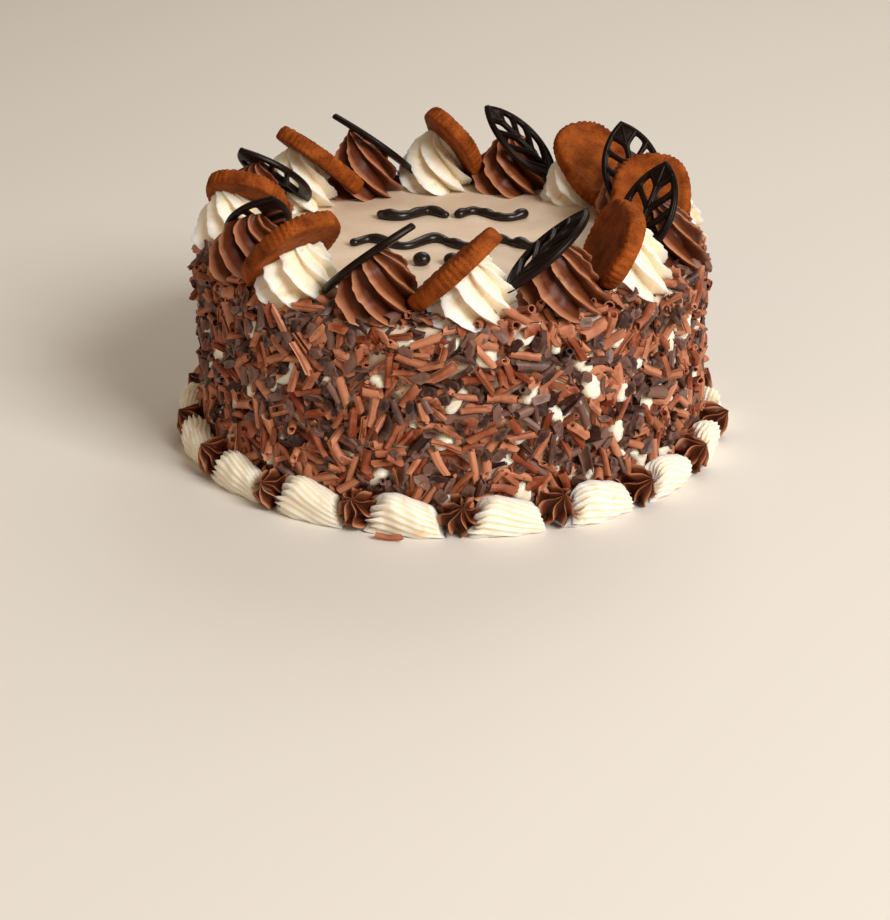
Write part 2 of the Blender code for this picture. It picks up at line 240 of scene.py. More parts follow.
def add_piece(name: str, shape: Shape, finish: bpy.types.Material, stands_for: list[str],
              sharp: float = 60.0) -> bpy.types.Object:
    """Make a visible piece of the cake from a shape.

    Args:
        name: the piece's name.
        shape: its mesh in mm.
        finish: its material.
        stands_for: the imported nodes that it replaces.
        sharp: the bend in degrees over which an edge isn't shaded smooth.

    Returns:
        The object, which rides on the cake.
    """
    mesh = bpy.data.meshes.new(name)
    mesh.from_pydata((shape.points * MM).tolist(), [], shape.faces)
    mesh.shade_smooth()
    mesh.set_sharp_from_angle(angle=math.radians(sharp))
    if shape.tones is not None:
        tone = mesh.attributes.new("tone", "FLOAT", "POINT")
        tone.data.foreach_set("value", shape.tones.astype(np.float32))
    mesh.materials.append(finish)
    piece = placed(name, mesh)
    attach(piece, BODY)
    if stands_for:
        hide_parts(*stands_for)
    LOG.info("%s: %d faces", name, len(mesh.polygons))
    return piece


# Finishes

def linear(colour: str) -> tuple[float, float, float, float]:
    """Turn an sRGB hex colour into linear red, green, blue and alpha."""
    parts = [int(colour[i:i + 2], 16) / 255.0 for i in (1, 3, 5)]
    red, green, blue = (p / 12.92 if p <= 0.04045 else ((p + 0.055) / 1.055) ** 2.4 for p in parts)
    return red, green, blue, 1.0


def add_node(tree: Tree, kind: str, sockets: dict[str | int, Any] | None = None,
             stops: list[tuple[float, str]] | None = None, **settings: Any) -> bpy.types.Node:
    """Add a node to a material.

    Args:
        tree: the material's node tree.
        kind: the node's type.
        sockets: for each input, a value or the output that it is linked to.
        stops: places and hex colours of a colour ramp.
        settings: the node's own settings.

    Returns:
        The node.
    """
    node = tree.nodes.new(kind)
    for name, value in settings.items():
        setattr(node, name, value)
    for key, value in (sockets or {}).items():
        if isinstance(value, Socket):
            tree.links.new(value, node.inputs[key])
        else:
            node.inputs[key].default_value = value
    if stops:
        ramp = node.color_ramp.elements
        while len(ramp) < len(stops):
            ramp.new(0.5)
        for element, (place, colour) in zip(ramp, stops):
            element.position = place
            element.color = linear(colour)
    return node


def per_metre(size_mm: float) -> float:
    """Texture scale that gives features of about this size."""
    return 1.0 / (size_mm * MM)


@dataclass(frozen=True)
class Food:
    """A food surface: two tones that run into each other in patches, and a fine grain."""

    name: str
    light: str
    dark: str
    patch_mm: float
    roughness: float
    grain_mm: float
    grain_depth_mm: float
    roughness_swing: float = 0.08
    specular: float = 0.5
    ior: float = 1.45
    translucency: float = 0.0
    translucency_mm: tuple[float, float, float] = (2.4, 1.6, 0.9)
    uses_tone: bool = False  # whether a vertex's tone goes into the patches
    tone_share: float = 0.6
    contrast: float = 0.22  # half the range of the patches over which the tones run into each other

    def build(self) -> bpy.types.Material:
        """Make the material.

        Returns:
            A Principled material with its patches, grain and relief.
        """
        finish = bpy.data.materials.new(self.name)
        finish.use_nodes = True
        tree = finish.node_tree
        shader = tree.nodes["Principled BSDF"]
        place = add_node(tree, "ShaderNodeTexCoord").outputs["Object"]
        patches = add_node(tree, "ShaderNodeTexNoise", {"Vector": place, "Scale": per_metre(self.patch_mm),
                                                        "Detail": 3.0, "Roughness": 0.6}).outputs["Fac"]
        if self.uses_tone:
            tone = add_node(tree, "ShaderNodeAttribute", attribute_name="tone").outputs["Fac"]
            patches = add_node(tree, "ShaderNodeMix", {"Factor": self.tone_share, "A": patches,
                                                       "B": tone}).outputs["Result"]
        colour = add_node(tree, "ShaderNodeValToRGB", {"Fac": patches},
                          stops=[(0.5 - self.contrast, self.dark), (0.5 + self.contrast, self.light)])
        colour = self.painted_light_and_stains(tree, place, colour.outputs["Color"])
        grain = add_node(tree, "ShaderNodeTexNoise", {"Vector": place, "Scale": per_metre(self.grain_mm),
                                                      "Detail": 4.0, "Roughness": 0.65}).outputs["Fac"]
        rough = add_node(tree, "ShaderNodeMapRange", {"Value": grain,
                                                      "To Min": self.roughness - self.roughness_swing,
                                                      "To Max": self.roughness + self.roughness_swing})
        relief = add_node(tree, "ShaderNodeBump", {"Height": self.relief(tree, place, grain), "Strength": 1.0,
                                                   "Distance": self.grain_depth_mm * MM})
        tree.links.new(colour, shader.inputs["Base Color"])
        tree.links.new(rough.outputs["Result"], shader.inputs["Roughness"])
        tree.links.new(relief.outputs["Normal"], shader.inputs["Normal"])
        shader.inputs["IOR"].default_value = self.ior
        shader.inputs["Specular IOR Level"].default_value = self.specular
        shader.inputs["Subsurface Weight"].default_value = self.translucency
        shader.inputs["Subsurface Radius"].default_value = self.translucency_mm
        shader.inputs["Subsurface Scale"].default_value = MM
        return finish

    @staticmethod
    def tinted(tree: Tree, colour: Socket, tint: str, value: Socket, span: tuple[float, float],
               share: float) -> Socket:
        """Lay a tint over a colour as a value rises or falls.

        Args:
            tree: the material's node tree.
            colour: the colour so far.
            tint: the tint's hex colour.
            value: what the tint follows.
            span: the value at which the tint starts, and at which it is whole.
            share: how much of the tint there is where it is whole.

        Returns:
            The tinted colour.
        """
        amount = add_node(tree, "ShaderNodeMapRange", {"Value": value, "From Min": span[0],
                                                       "From Max": span[1], "To Max": share})
        return add_node(tree, "ShaderNodeMix", {"Factor": amount.outputs["Result"], "A": colour,
                                                "B": linear(tint)}, data_type="RGBA").outputs["Result"]

    def painted_light_and_stains(self, tree: Tree, place: Socket, colour: Socket) -> Socket:
        """Colour laid over the patches: none on a plain food."""
        return colour

    def relief(self, tree: Tree, place: Socket, grain: Socket) -> Socket:
        """Height of the fine relief: the grain alone on a plain food."""
        return grain


@dataclass(frozen=True)
class PipedCream(Food):
    """Cream from a star nozzle: painted highlight on its thin crests and painted shade in its hollows, as the
    tone tells.
    """

    # painted highlight on the crests: its colour, the tone from which it starts, and how much of it
    crest: str = "#FFFDF6"
    crest_highlight_from: float = 0.45
    crest_highlight_share: float = 0.8
    # painted shade in the hollows: its colour, the tone under which it starts, and how much of it
    hollow: str = "#EBDAB0"
    hollow_shade_to: float = 0.35
    hollow_shade_share: float = 0.6

    def painted_light_and_stains(self, tree: Tree, place: Socket, colour: Socket) -> Socket:
        """Paint shade into the hollows and highlight onto the crests.

        Args:
            tree: the material's node tree.
            place: where a point is; not used.
            colour: the cream's own colour.

        Returns:
            The colour with its painted highlight and shade.
        """
        tone = add_node(tree, "ShaderNodeAttribute", attribute_name="tone").outputs["Fac"]
        colour = self.tinted(tree, colour, self.hollow, tone, (self.hollow_shade_to, 0.0), self.hollow_shade_share)
        return self.tinted(tree, colour, self.crest, tone, (self.crest_highlight_from, 1.0), self.crest_highlight_share)


@dataclass(frozen=True)
class StainedCream(PipedCream):
    """Piped cream with small caramel-coloured stains from the sponge and the biscuits."""

    stain: str = "#D9A860"
    stain_mm: float = 7.0
    stain_span: tuple[float, float] = (0.64, 0.78)
    stain_share: float = 0.55

    def painted_light_and_stains(self, tree: Tree, place: Socket, colour: Socket) -> Socket:
        """Lay the stains over the cream and its painted highlight and shade.

        Args:
            tree: the material's node tree.
            place: where a point is.
            colour: the cream's own colour.

        Returns:
            The stained colour.
        """
        colour = super().painted_light_and_stains(tree, place, colour)
        noise = add_node(tree, "ShaderNodeTexNoise", {"Vector": place, "Scale": per_metre(self.stain_mm),
                                                      "Detail": 2.0, "Distortion": 0.6}).outputs["Fac"]
        return self.tinted(tree, colour, self.stain, noise, self.stain_span, self.stain_share)


@dataclass(frozen=True)
class BakedBiscuit(Food):
    """Biscuit dough baked brown: open pores, with painted shade in them."""

    # painted shade in the pores, where the relief sinks: its colour, the pore distances over which it comes
    # in, and how much of it
    painted_pore_shade: str = "#4A230C"
    pore_shade_span: tuple[float, float] = (0.34, 0.12)
    pore_shade_share: float = 0.7
    pore_mm: float = 1.3
    pore_edge: tuple[float, float] = (0.05, 0.4)

    def painted_light_and_stains(self, tree: Tree, place: Socket, colour: Socket) -> Socket:
        """Paint shade into the pores."""
        pores = self.pores(tree, place)
        return self.tinted(tree, colour, self.painted_pore_shade, pores, self.pore_shade_span, self.pore_shade_share)

    def pores(self, tree: Tree, place: Socket) -> Socket:
        """Distance to the nearest pore, as a share of their spacing."""
        cells = add_node(tree, "ShaderNodeTexVoronoi", {"Vector": place, "Scale": per_metre(self.pore_mm)})
        return cells.outputs["Distance"]

    def relief(self, tree: Tree, place: Socket, grain: Socket) -> Socket:
        """Sink the pores into the grain.

        Args:
            tree: the material's node tree.
            place: where a point is.
            grain: the crust's own grain.

        Returns:
            The height of the relief.
        """
        dip = add_node(tree, "ShaderNodeMapRange", {"Value": self.pores(tree, place),
                                                    "From Min": self.pore_edge[0],
                                                    "From Max": self.pore_edge[1]})
        both = add_node(tree, "ShaderNodeMath", {0: dip.outputs["Result"], 1: grain}, operation="ADD")
        return both.outputs["Value"]


# whipped dairy cream: soft and half matt, so translucent that its shadows glow warm; its crests carry painted
# highlight and its hollows painted yellow shade
WHIPPED_CREAM = StainedCream("whipped_cream", light="#F8F0E0", dark="#F1E4CB", patch_mm=16.0,
                             roughness=0.48, grain_mm=0.9, grain_depth_mm=0.05, translucency=0.8,
                             translucency_mm=(5.2, 4.2, 3.0), specular=0.3, hollow="#F0DEB2",
                             hollow_shade_share=0.45)
# the same cream spread with a palette knife: smoother and duller, without the stains; its colour is painted
# darker and beiger than the piped cream as shade for the light that grazes the top
SPREAD_CREAM_WITH_PAINTED_SHADE = Food("spread_cream", light="#E3CFB9", dark="#D7BFA6", patch_mm=30.0, roughness=0.42,
                    grain_mm=1.4, grain_depth_mm=0.04, translucency=0.3, specular=0.4)
# chocolate beaten into cream: mid brown, its thin crests painted pale as highlight and its hollows painted
# near black as shade
WHIPPED_GANACHE = PipedCream("whipped_ganache", light="#6C351B", dark="#54250F", patch_mm=12.0,
                             roughness=0.4, grain_mm=0.8, grain_depth_mm=0.06, translucency=0.1,
                             translucency_mm=(1.2, 0.5, 0.3), specular=0.2,
                             crest="#C08462", crest_highlight_from=0.58, crest_highlight_share=0.95,
                             hollow="#2E1006", hollow_shade_to=0.45, hollow_shade_share=0.85)
# milk chocolate shaved from a block: matt, paler at the ends of the curls and the rims of the chips
MILK_CHOCOLATE = Food("shaved_milk_chocolate", light="#BE7E5E", dark="#7A3214", patch_mm=3.0, roughness=0.5,
                      grain_mm=0.6, grain_depth_mm=0.08, uses_tone=True, specular=0.3, contrast=0.26)
# dark chocolate shaved from a block: a greyish bloom in small patches over near-black brown
DARK_CHOCOLATE = Food("shaved_dark_chocolate", light="#755449", dark="#2C0D04", patch_mm=1.8, roughness=0.4,
                      grain_mm=0.6, grain_depth_mm=0.12, uses_tone=True, specular=0.4, contrast=0.19)
# spiced biscuit baked to caramel brown: dry and pitted, in darker and lighter patches
CARAMEL_BISCUIT = BakedBiscuit("caramel_biscuit", light="#A4551F", dark="#642A0A", patch_mm=9.0,
                               roughness=0.65, grain_mm=0.6, grain_depth_mm=0.18, specular=0.08)
# dark chocolate set in a mould: near black with a dull gloss
MOULDED_CHOCOLATE = Food("moulded_dark_chocolate", light="#1E100A", dark="#0E0604", patch_mm=8.0,
                         roughness=0.34, specular=0.15, grain_mm=1.2, grain_depth_mm=0.03)
# piping chocolate that has set where it was laid: near black and glossy
PIPED_CHOCOLATE = Food("piped_dark_chocolate", light="#20130F", dark="#140B09", patch_mm=6.0, roughness=0.3,
                       grain_mm=2.5, grain_depth_mm=0.05, specular=0.4)


@dataclass(frozen=True)
class Paper:
    """The matt paper sweep that the cake stands on."""

    colour: str = "#E4E1DC"
    roughness: float = 0.7

    def build(self) -> bpy.types.Material:
        """Make the material."""
        finish = bpy.data.materials.new("paper_sweep")
        finish.use_nodes = True
        shader = finish.node_tree.nodes["Principled BSDF"]
        shader.inputs["Base Color"].default_value = linear(self.colour)
        shader.inputs["Roughness"].default_value = self.roughness
        return finish


# Cake under its cream

@dataclass(frozen=True)
class CreamCake:
    """The cake in its spread cream: a smooth flat top and rougher sides that show between the curls."""

    columns: int = 224
    top_rings: int = 26
    side_rings: int = 34
    edge_rings: int = 6
    knife_marks: Wobble = Wobble(seed=3, wavelength=46.0, amplitude=0.3)
    knife_stretch: float = 2.2  # the marks run from side to side, so they are closer from front to back
    side_lumps: Wobble = Wobble(seed=5, wavelength=12.0, amplitude=0.9, waves=12)

    def build(self) -> Shape:
        """Turn the profile, from the underside up the side and in over the top.

        Returns:
            The closed shape.
        """
        flat = CREAM_RADIUS - TOP_EDGE
        profile = [(CREAM_RADIUS, (CAKE_TOP - TOP_EDGE) * i / self.side_rings)
                   for i in range(self.side_rings)]
        for i in range(self.edge_rings):
            bend = math.pi / 2 * i / (self.edge_rings - 1)
            profile.append((flat + TOP_EDGE * math.cos(bend), CAKE_TOP - TOP_EDGE * (1.0 - math.sin(bend))))
        profile += [(flat * (1.0 - (i + 1) / self.top_rings), CAKE_TOP) for i in range(self.top_rings - 1)]
        around = np.arange(self.columns) * TURN / self.columns
        points = np.concatenate([ring_at(radius, around, z) for radius, z in profile])
        inside = smoothstep((np.hypot(points[:, 0], points[:, 1]) - flat) / TOP_EDGE)
        lift = self.knife_marks.at(points * [1.0, self.knife_stretch, 1.0]) * (1.0 - inside)
        points[:, :2] *= (1.0 + self.side_lumps.at(points) * inside / CREAM_RADIUS)[:, None]
        points[:, 2] += lift
        poles = np.array([[0.0, 0.0, 0.0], [0.0, 0.0, points[-self.columns:, 2].mean()]])
        return capped(np.concatenate([points, poles]), self.columns)

    def dress(self) -> None:
        """Add the piece."""
        add_piece("spread_cream", self.build(), SPREAD_CREAM_WITH_PAINTED_SHADE.build(), ["cake_body"])


# Toppings

@dataclass(frozen=True)
class Seat:
    """Where a topping lies: its middle, its size, and its axes as rows (width, length, out of the face)."""

    middle: np.ndarray
    size: np.ndarray
    axes: np.ndarray

    @classmethod
    def of(cls, node: str) -> Seat:
        """Read a topping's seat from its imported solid.

        Args:
            node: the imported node's name.

        Returns:
            The seat, with the length running up and the face looking up.
        """
        mesh = bpy.data.objects[node].data
        points = np.array([vertex.co for vertex in mesh.vertices]) / MM
        spread = points - points.mean(axis=0)
        _, axes = np.linalg.eigh(spread.T @ spread)
        out, width, length = axes.T
        out = out * math.copysign(1.0, out[2])
        length = length * math.copysign(1.0, length[2])
        axes = np.array([np.cross(length, out), length, out])
        local = points @ axes.T
        low, high = local.min(axis=0), local.max(axis=0)
        return cls((low + high) / 2 @ axes, high - low, axes)

    def to_local(self, points: np.ndarray) -> np.ndarray:
        """Places in the topping's own frame."""
        return (points - self.middle) @ self.axes.T

    def to_world(self, points: np.ndarray) -> np.ndarray:
        """Places in the cake's frame."""
        return points @ self.axes + self.middle


@dataclass(frozen=True)
class Biscuit:
    """An oval biscuit: a raised rim with short ridges round it, a plain field and pitted sides."""

    length: float = 58.0
    width: float = 41.0
    thickness: float = 8.5
    squareness: float = 2.6
    scallops: int = 44
    samples: int = 5
    scallop_depth: float = 0.6
    rim: float = 5.0
    rim_height: float = 0.9
    ridge_reach: float = 4.6
    ridge_power: float = 0.7  # under 1, narrow grooves between round ridges
    back_groove: float = 0.6  # share of the grooves' depth at the back
    groove_drop: float = 0.75  # how far the face sinks in a groove, as a share of its depth
    rough_back: float = 0.4
    rough_side: float = 0.7
    bow: Wobble = Wobble(seed=0, wavelength=60.0, amplitude=0.35)
    rough: Wobble = Wobble(seed=50, wavelength=3.2, amplitude=0.16, waves=15)

    def outline(self, angle: np.ndarray, inset: np.ndarray | float) -> np.ndarray:
        """Points of the rounded oval.

        Args:
            angle: the way round, in radians.
            inset: how far inside the edge, in mm.

        Returns:
            X and Y of each point.
        """
        c, s = np.cos(angle), np.sin(angle)
        x = np.sign(c) * np.abs(c) ** (2 / self.squareness)
        y = np.sign(s) * np.abs(s) ** (2 / self.squareness)
        return np.column_stack([x * (self.width / 2 - inset), y * (self.length / 2 - inset)])

    def distance(self, local: np.ndarray) -> np.ndarray:
        """How far outside the edge a place in the topping's frame lies, below 0 inside."""
        share = ((np.abs(local[:, 0]) * 2 / self.width) ** self.squareness
                 + (np.abs(local[:, 1]) * 2 / self.length) ** self.squareness) ** (1 / self.squareness)
        reach = np.hypot(local[:, 0], local[:, 1])
        return reach * (1.0 - 1.0 / np.maximum(share, 0.05))

    def build(self, seed: int) -> Shape:
        """Model one biscuit flat in its own frame.

        Args:
            seed: which biscuit of the batch.

        Returns:
            The closed shape, face up.
        """
        half = self.thickness / 2
        # inset from the edge and height, from the middle of the back out and over to the face
        back = [(inset, -half) for inset in (16.0, 11.0, 6.5, 3.0, 1.3)]
        side = [(0.45, -half + 0.35), (0.1, -half + 1.2), (0.0, -half + 2.6), (0.0, -half + 4.2),
                (0.1, -half + 5.6), (0.35, -half + 6.8), (0.8, half - 0.75), (1.5, half - 0.2)]
        face = [(2.4, half), (3.3, half), (self.ridge_reach - 0.5, half - 0.15), (self.rim, half - 0.45),
                (self.rim + 1.0, half - self.rim_height), (8.0, half - self.rim_height - 0.1),
                (11.5, half - self.rim_height), (16.0, half - self.rim_height + 0.1)]
        profile = back + side + face
        columns = self.scallops * self.samples
        angle = np.arange(columns) * TURN / columns
        ridge = (0.5 - 0.5 * np.cos(self.scallops * angle)) ** self.ridge_power
        rows = []
        for inset, z in profile:
            near = 1.0 - smoothstep((inset - 1.0) / (self.ridge_reach - 1.0))
            up = smoothstep((z + half) / self.thickness)
            groove = self.scallop_depth * (1.0 - ridge) * near
            ring = self.outline(angle, inset + groove * (self.back_groove + (1.0 - self.back_groove) * up))
            drop = self.groove_drop * groove * up if inset > 0.7 else 0.0
            rows.append(np.column_stack([ring, np.full(columns, z) - drop]))
        points = np.concatenate(rows)
        poles = np.array([[0.0, 0.0, -half], [0.0, 0.0, half - self.rim_height + 0.1]])
        points = np.concatenate([points, poles])
        bow = self.bow.of(seed).at(points * [1.0, 1.0, 0.0])
        rough = self.rough.of(seed).at(points)
        points[:, 2] += bow + rough * np.where(points[:, 2] > 0.0, 1.0, self.rough_back)
        points = widened(points, self.rough_side * rough, core=4.0)
        return capped(points, columns)


@dataclass(frozen=True)
class Leaf:
    """A moulded leaf: an outline and a midrib with paired veins between them, open in between."""

    length: float = 57.0
    width: float = 32.0
    thickness: float = 2.8
    edge: float = 0.9
    rim: float = 3.2
    rib: float = 3.0
    vein: float = 2.8
    openings: int = 3
    lowest: float = -19.0
    pitch: float = 12.0
    bead: float = 0.95
    bead_sink: float = 0.35
    side_points: int = 28
    curl: tuple[float, float] = (0.2, 1.3)  # how far the ends bend back

    def half_width(self, y: float, grow: float = 0.0) -> float:
        """Half the leaf's width at a distance from its middle, between two equal arcs."""
        length, width = self.length + 2 * grow, self.width + 2 * grow
        bow = (length * length + width * width) / (4 * width)
        return math.sqrt(max(bow * bow - y * y, 0.0)) - (bow - width / 2)

    def outline(self, grow: float) -> list[tuple[float, float]]:
        """The leaf's outline, grown or drawn in.

        Args:
            grow: how far out, in mm.

        Returns:
            The points, from the stalk up the right side and back.
        """
        half = self.length / 2 + grow
        right = []
        for i in range(self.side_points + 1):
            y = -half * math.cos(math.pi * i / self.side_points)
            right.append((self.half_width(y, grow), y))
        return right + [(-x, y) for x, y in reversed(right[1:-1])]

    def crossing(self, start: float, inset: float) -> float:
        """Where a line at 45 degrees from the midrib meets a line inside the outline.

        Args:
            start: the height at which the line leaves the middle.
            inset: how far that line is inside the outline.

        Returns:
            The distance from the middle.
        """
        near, far = 0.0, self.width / 2
        for _ in range(24):
            x = (near + far) / 2
            if x < self.half_width(start + x) - inset:
                near = x
            else:
                far = x
        return near

    def opening(self, step: int) -> list[tuple[float, float]]:
        """Corners of the opening at a step up the right of the midrib, grown by the rounded edge."""
        inner = self.rib / 2 - self.edge
        low = self.lowest + self.pitch * step - self.edge * math.sqrt(2)
        high = low + self.pitch + (2 * self.edge - self.vein) * math.sqrt(2)
        rim = self.rim - self.edge
        low_rim, high_rim = self.crossing(low, rim), self.crossing(high, rim)
        return rounded([(inner, low + inner), (low_rim, low + low_rim), (high_rim, high + high_rim),
                        (inner, high + inner)])

    def distance(self, local: np.ndarray) -> np.ndarray:
        """How far outside the edge a place in the topping's frame lies, below 0 inside."""
        along = np.clip(local[:, 1], -self.length / 2, self.length / 2)
        widths = np.array([self.half_width(y) for y in along])
        past = np.maximum(np.abs(local[:, 1]) - self.length / 2, 0.0)
        return np.maximum(np.abs(local[:, 0]) - widths, 0.0) + past

    def beads(self) -> list[list[tuple[float, float]]]:
        """Lines of the raised beads: round the rim, up the midrib and along the veins."""
        lines = [self.outline(-self.rim / 2)[:self.side_points + 1]]
        lines.append([(-x, y) for x, y in lines[0]])
        lines.append([(0.0, y) for y in np.linspace(-self.length / 2 + 2.5, self.length / 2 - 2.5, 15)])
        for step in range(self.openings + 2):
            start = self.lowest + self.pitch * step - self.vein / math.sqrt(2)
            end = self.crossing(start, self.rim / 2)
            line = [(x, start + x) for x in np.linspace(0.2, end, 6)]
            lines += [line, [(-x, y) for x, y in line]]
        return lines

    def build(self, seed: int) -> Shape:
        """Model one leaf flat in its own frame.

        Args:
            seed: which leaf of the mould.

        Returns:
            A plate with its openings, and the beads on its face.
        """
        outlines = [self.outline(-self.edge)]
        for step in range(self.openings):
            opening = self.opening(step)
            outlines += [opening, [(-x, y) for x, y in opening]]
        shapes = [plate(outlines, self.thickness, self.edge)]
        for line in self.beads():
            path = np.array([(x, y, self.thickness / 2 - self.bead_sink) for x, y in line])
            shapes.append(Stroke(path, np.full(len(path), self.bead), sides=8).build())
        leaf = Shape.joined(shapes)
        share = leaf.points[:, 1] * 2 / self.length
        curl = np.random.default_rng(seed).uniform(*self.curl)
        leaf.points[:, 2] += curl * (0.4 - share ** 2)
        return leaf


def rounded(corners: list[tuple[float, float]], cuts: int = 2) -> list[tuple[float, float]]:
    """Round an outline off by cutting its corners.

    Args:
        corners: the sharp outline.
        cuts: how many times each corner is cut.

    Returns:
        The rounder outline.
    """
    points = [Vector(corner) for corner in corners]
    share = 0.16
    for _ in range(cuts):
        cut = []
        for before, after in zip(points, points[1:] + points[:1]):
            cut += [before.lerp(after, share), before.lerp(after, 1.0 - share)]
        points, share = cut, 0.25
    return [tuple(point) for point in points]


def plate(outlines: list[list[tuple[float, float]]], thickness: float, edge: float) -> Shape:
    """A flat plate with rounded edges, open inside all outlines but the first.

    Args:
        outlines: the outer outline and the openings, which the rounding grows past.
        thickness: the plate's thickness.
        edge: the radius of its rounded edges.

    Returns:
        The closed shape about its middle plane.
    """
    curve = bpy.data.curves.new("plate", "CURVE")
    curve.dimensions = "2D"
    curve.fill_mode = "BOTH"
    curve.extrude = thickness / 2 - edge
    curve.bevel_depth = edge
    curve.bevel_resolution = 2
    for outline in outlines:
        spline = curve.splines.new("POLY")
        spline.points.add(len(outline) - 1)
        for point, (x, y) in zip(spline.points, outline):
            point.co = (x, y, 0.0, 1.0)
        spline.use_cyclic_u = True
    item = placed("plate", curve)
    bpy.context.view_layer.update()
    mesh = bpy.data.meshes.new_from_object(item.evaluated_get(bpy.context.evaluated_depsgraph_get()))
    bpy.data.objects.remove(item, do_unlink=True)
    shape = welded(mesh)
    bpy.data.meshes.remove(mesh)
    return shape


def welded(mesh: bpy.types.Mesh, distance: float = 0.01) -> Shape:
    """Close a mesh's loose caps and read it.

    Args:
        mesh: the mesh, in mm.
        distance: how near two points are when they are one.

    Returns:
        Its shape.
    """
    work = bmesh.new()
    work.from_mesh(mesh)
    bmesh.ops.remove_doubles(work, verts=work.verts, dist=distance)
    bmesh.ops.recalc_face_normals(work, faces=work.faces)
    work.verts.index_update()
    points = np.array([vertex.co[:] for vertex in work.verts])
    faces = [[vertex.index for vertex in face.verts] for face in work.faces]
    work.free()
    return Shape(points, faces)


@dataclass(frozen=True)
class Stroke:
    """A piped line: a round section along a path, with domed ends."""

    path: np.ndarray
    radii: np.ndarray
    sides: int = 14
    flatten: float = 1.0
    dome: tuple[float, ...] = (0.4, 0.8, 1.3)  # angles of the rings that round the ends off

    def build(self) -> Shape:
        """Sweep the section along the path.

        Returns:
            The closed shape.
        """
        ways = np.gradient(self.path, axis=0)
        ways /= np.linalg.norm(ways, axis=1)[:, None]
        rings = []
        first, last = self.path[0], self.path[-1]
        stations = [(first - ways[0] * self.radii[0] * math.sin(a), ways[0], self.radii[0] * math.cos(a))
                    for a in reversed(self.dome)]
        stations += list(zip(self.path, ways, self.radii))
        stations += [(last + ways[-1] * self.radii[-1] * math.sin(a), ways[-1], self.radii[-1] * math.cos(a))
                     for a in self.dome]
        angle = np.arange(self.sides) * TURN / self.sides
        for middle, way, radius in stations:
            side = np.cross([0.0, 0.0, 1.0], way)
            side /= np.linalg.norm(side)
            up = np.cross(way, side)
            rings.append(middle + radius * (np.outer(np.cos(angle), side)
                                            + self.flatten * np.outer(np.sin(angle), up)))
        poles = np.array([first - ways[0] * self.radii[0], last + ways[-1] * self.radii[-1]])
        return capped(np.concatenate([*rings, poles]), self.sides)


# Piped rosettes

class Cream(Enum):
    """The two creams that are piped by turns."""

    WHITE = "cream"
    CHOCOLATE = "chocolate"


@dataclass(frozen=True)
class Ridges:
    """The ridges that a star nozzle leaves: hollow faces that meet in thin crests."""

    count: int
    crest: float  # share of a ridge's width at which its crest stands
    before: int  # samples up to the crest, and down from it
    after: int
    hollow: float = 1.15  # over 1, how hollow the faces are

    @property
    def columns(self) -> int:
        """Vertices all the way round."""
        return self.count * (self.before + self.after)

    @property
    def numbers(self) -> np.ndarray:
        """Which ridge each vertex is on."""
        return np.repeat(np.arange(self.count), self.before + self.after)

    @property
    def edge(self) -> np.ndarray:
        """Height of each vertex over the groove, from 0 to 1 on the crest."""
        up, down = np.arange(self.before) / self.before, 1.0 - np.arange(self.after) / self.after
        return np.tile(np.concatenate([up, down]) ** self.hollow, self.count)

    @property
    def share(self) -> np.ndarray:
        """How far round each vertex is, from 0 to 1."""
        rise = self.crest * np.arange(self.before) / self.before
        fall = self.crest + (1.0 - self.crest) * np.arange(self.after) / self.after
        return (self.numbers + np.tile(np.concatenate([rise, fall]), self.count)) / self.count

    # the creams' finishes paint highlight on the crests and shade in the hollows from these tones
    def tones(self, rows: int) -> np.ndarray:
        """Tones of that many rings and their two poles: how near each vertex is to a crest."""
        return np.concatenate([np.tile(self.edge, rows), [0.5, 0.5]])

    def closed(self, points: np.ndarray) -> Shape:
        """Close rings of vertices, which two poles follow, with the tones of the ridges."""
        shape = capped(points, self.columns)
        shape.tones = self.tones(len(points) // self.columns)
        return shape


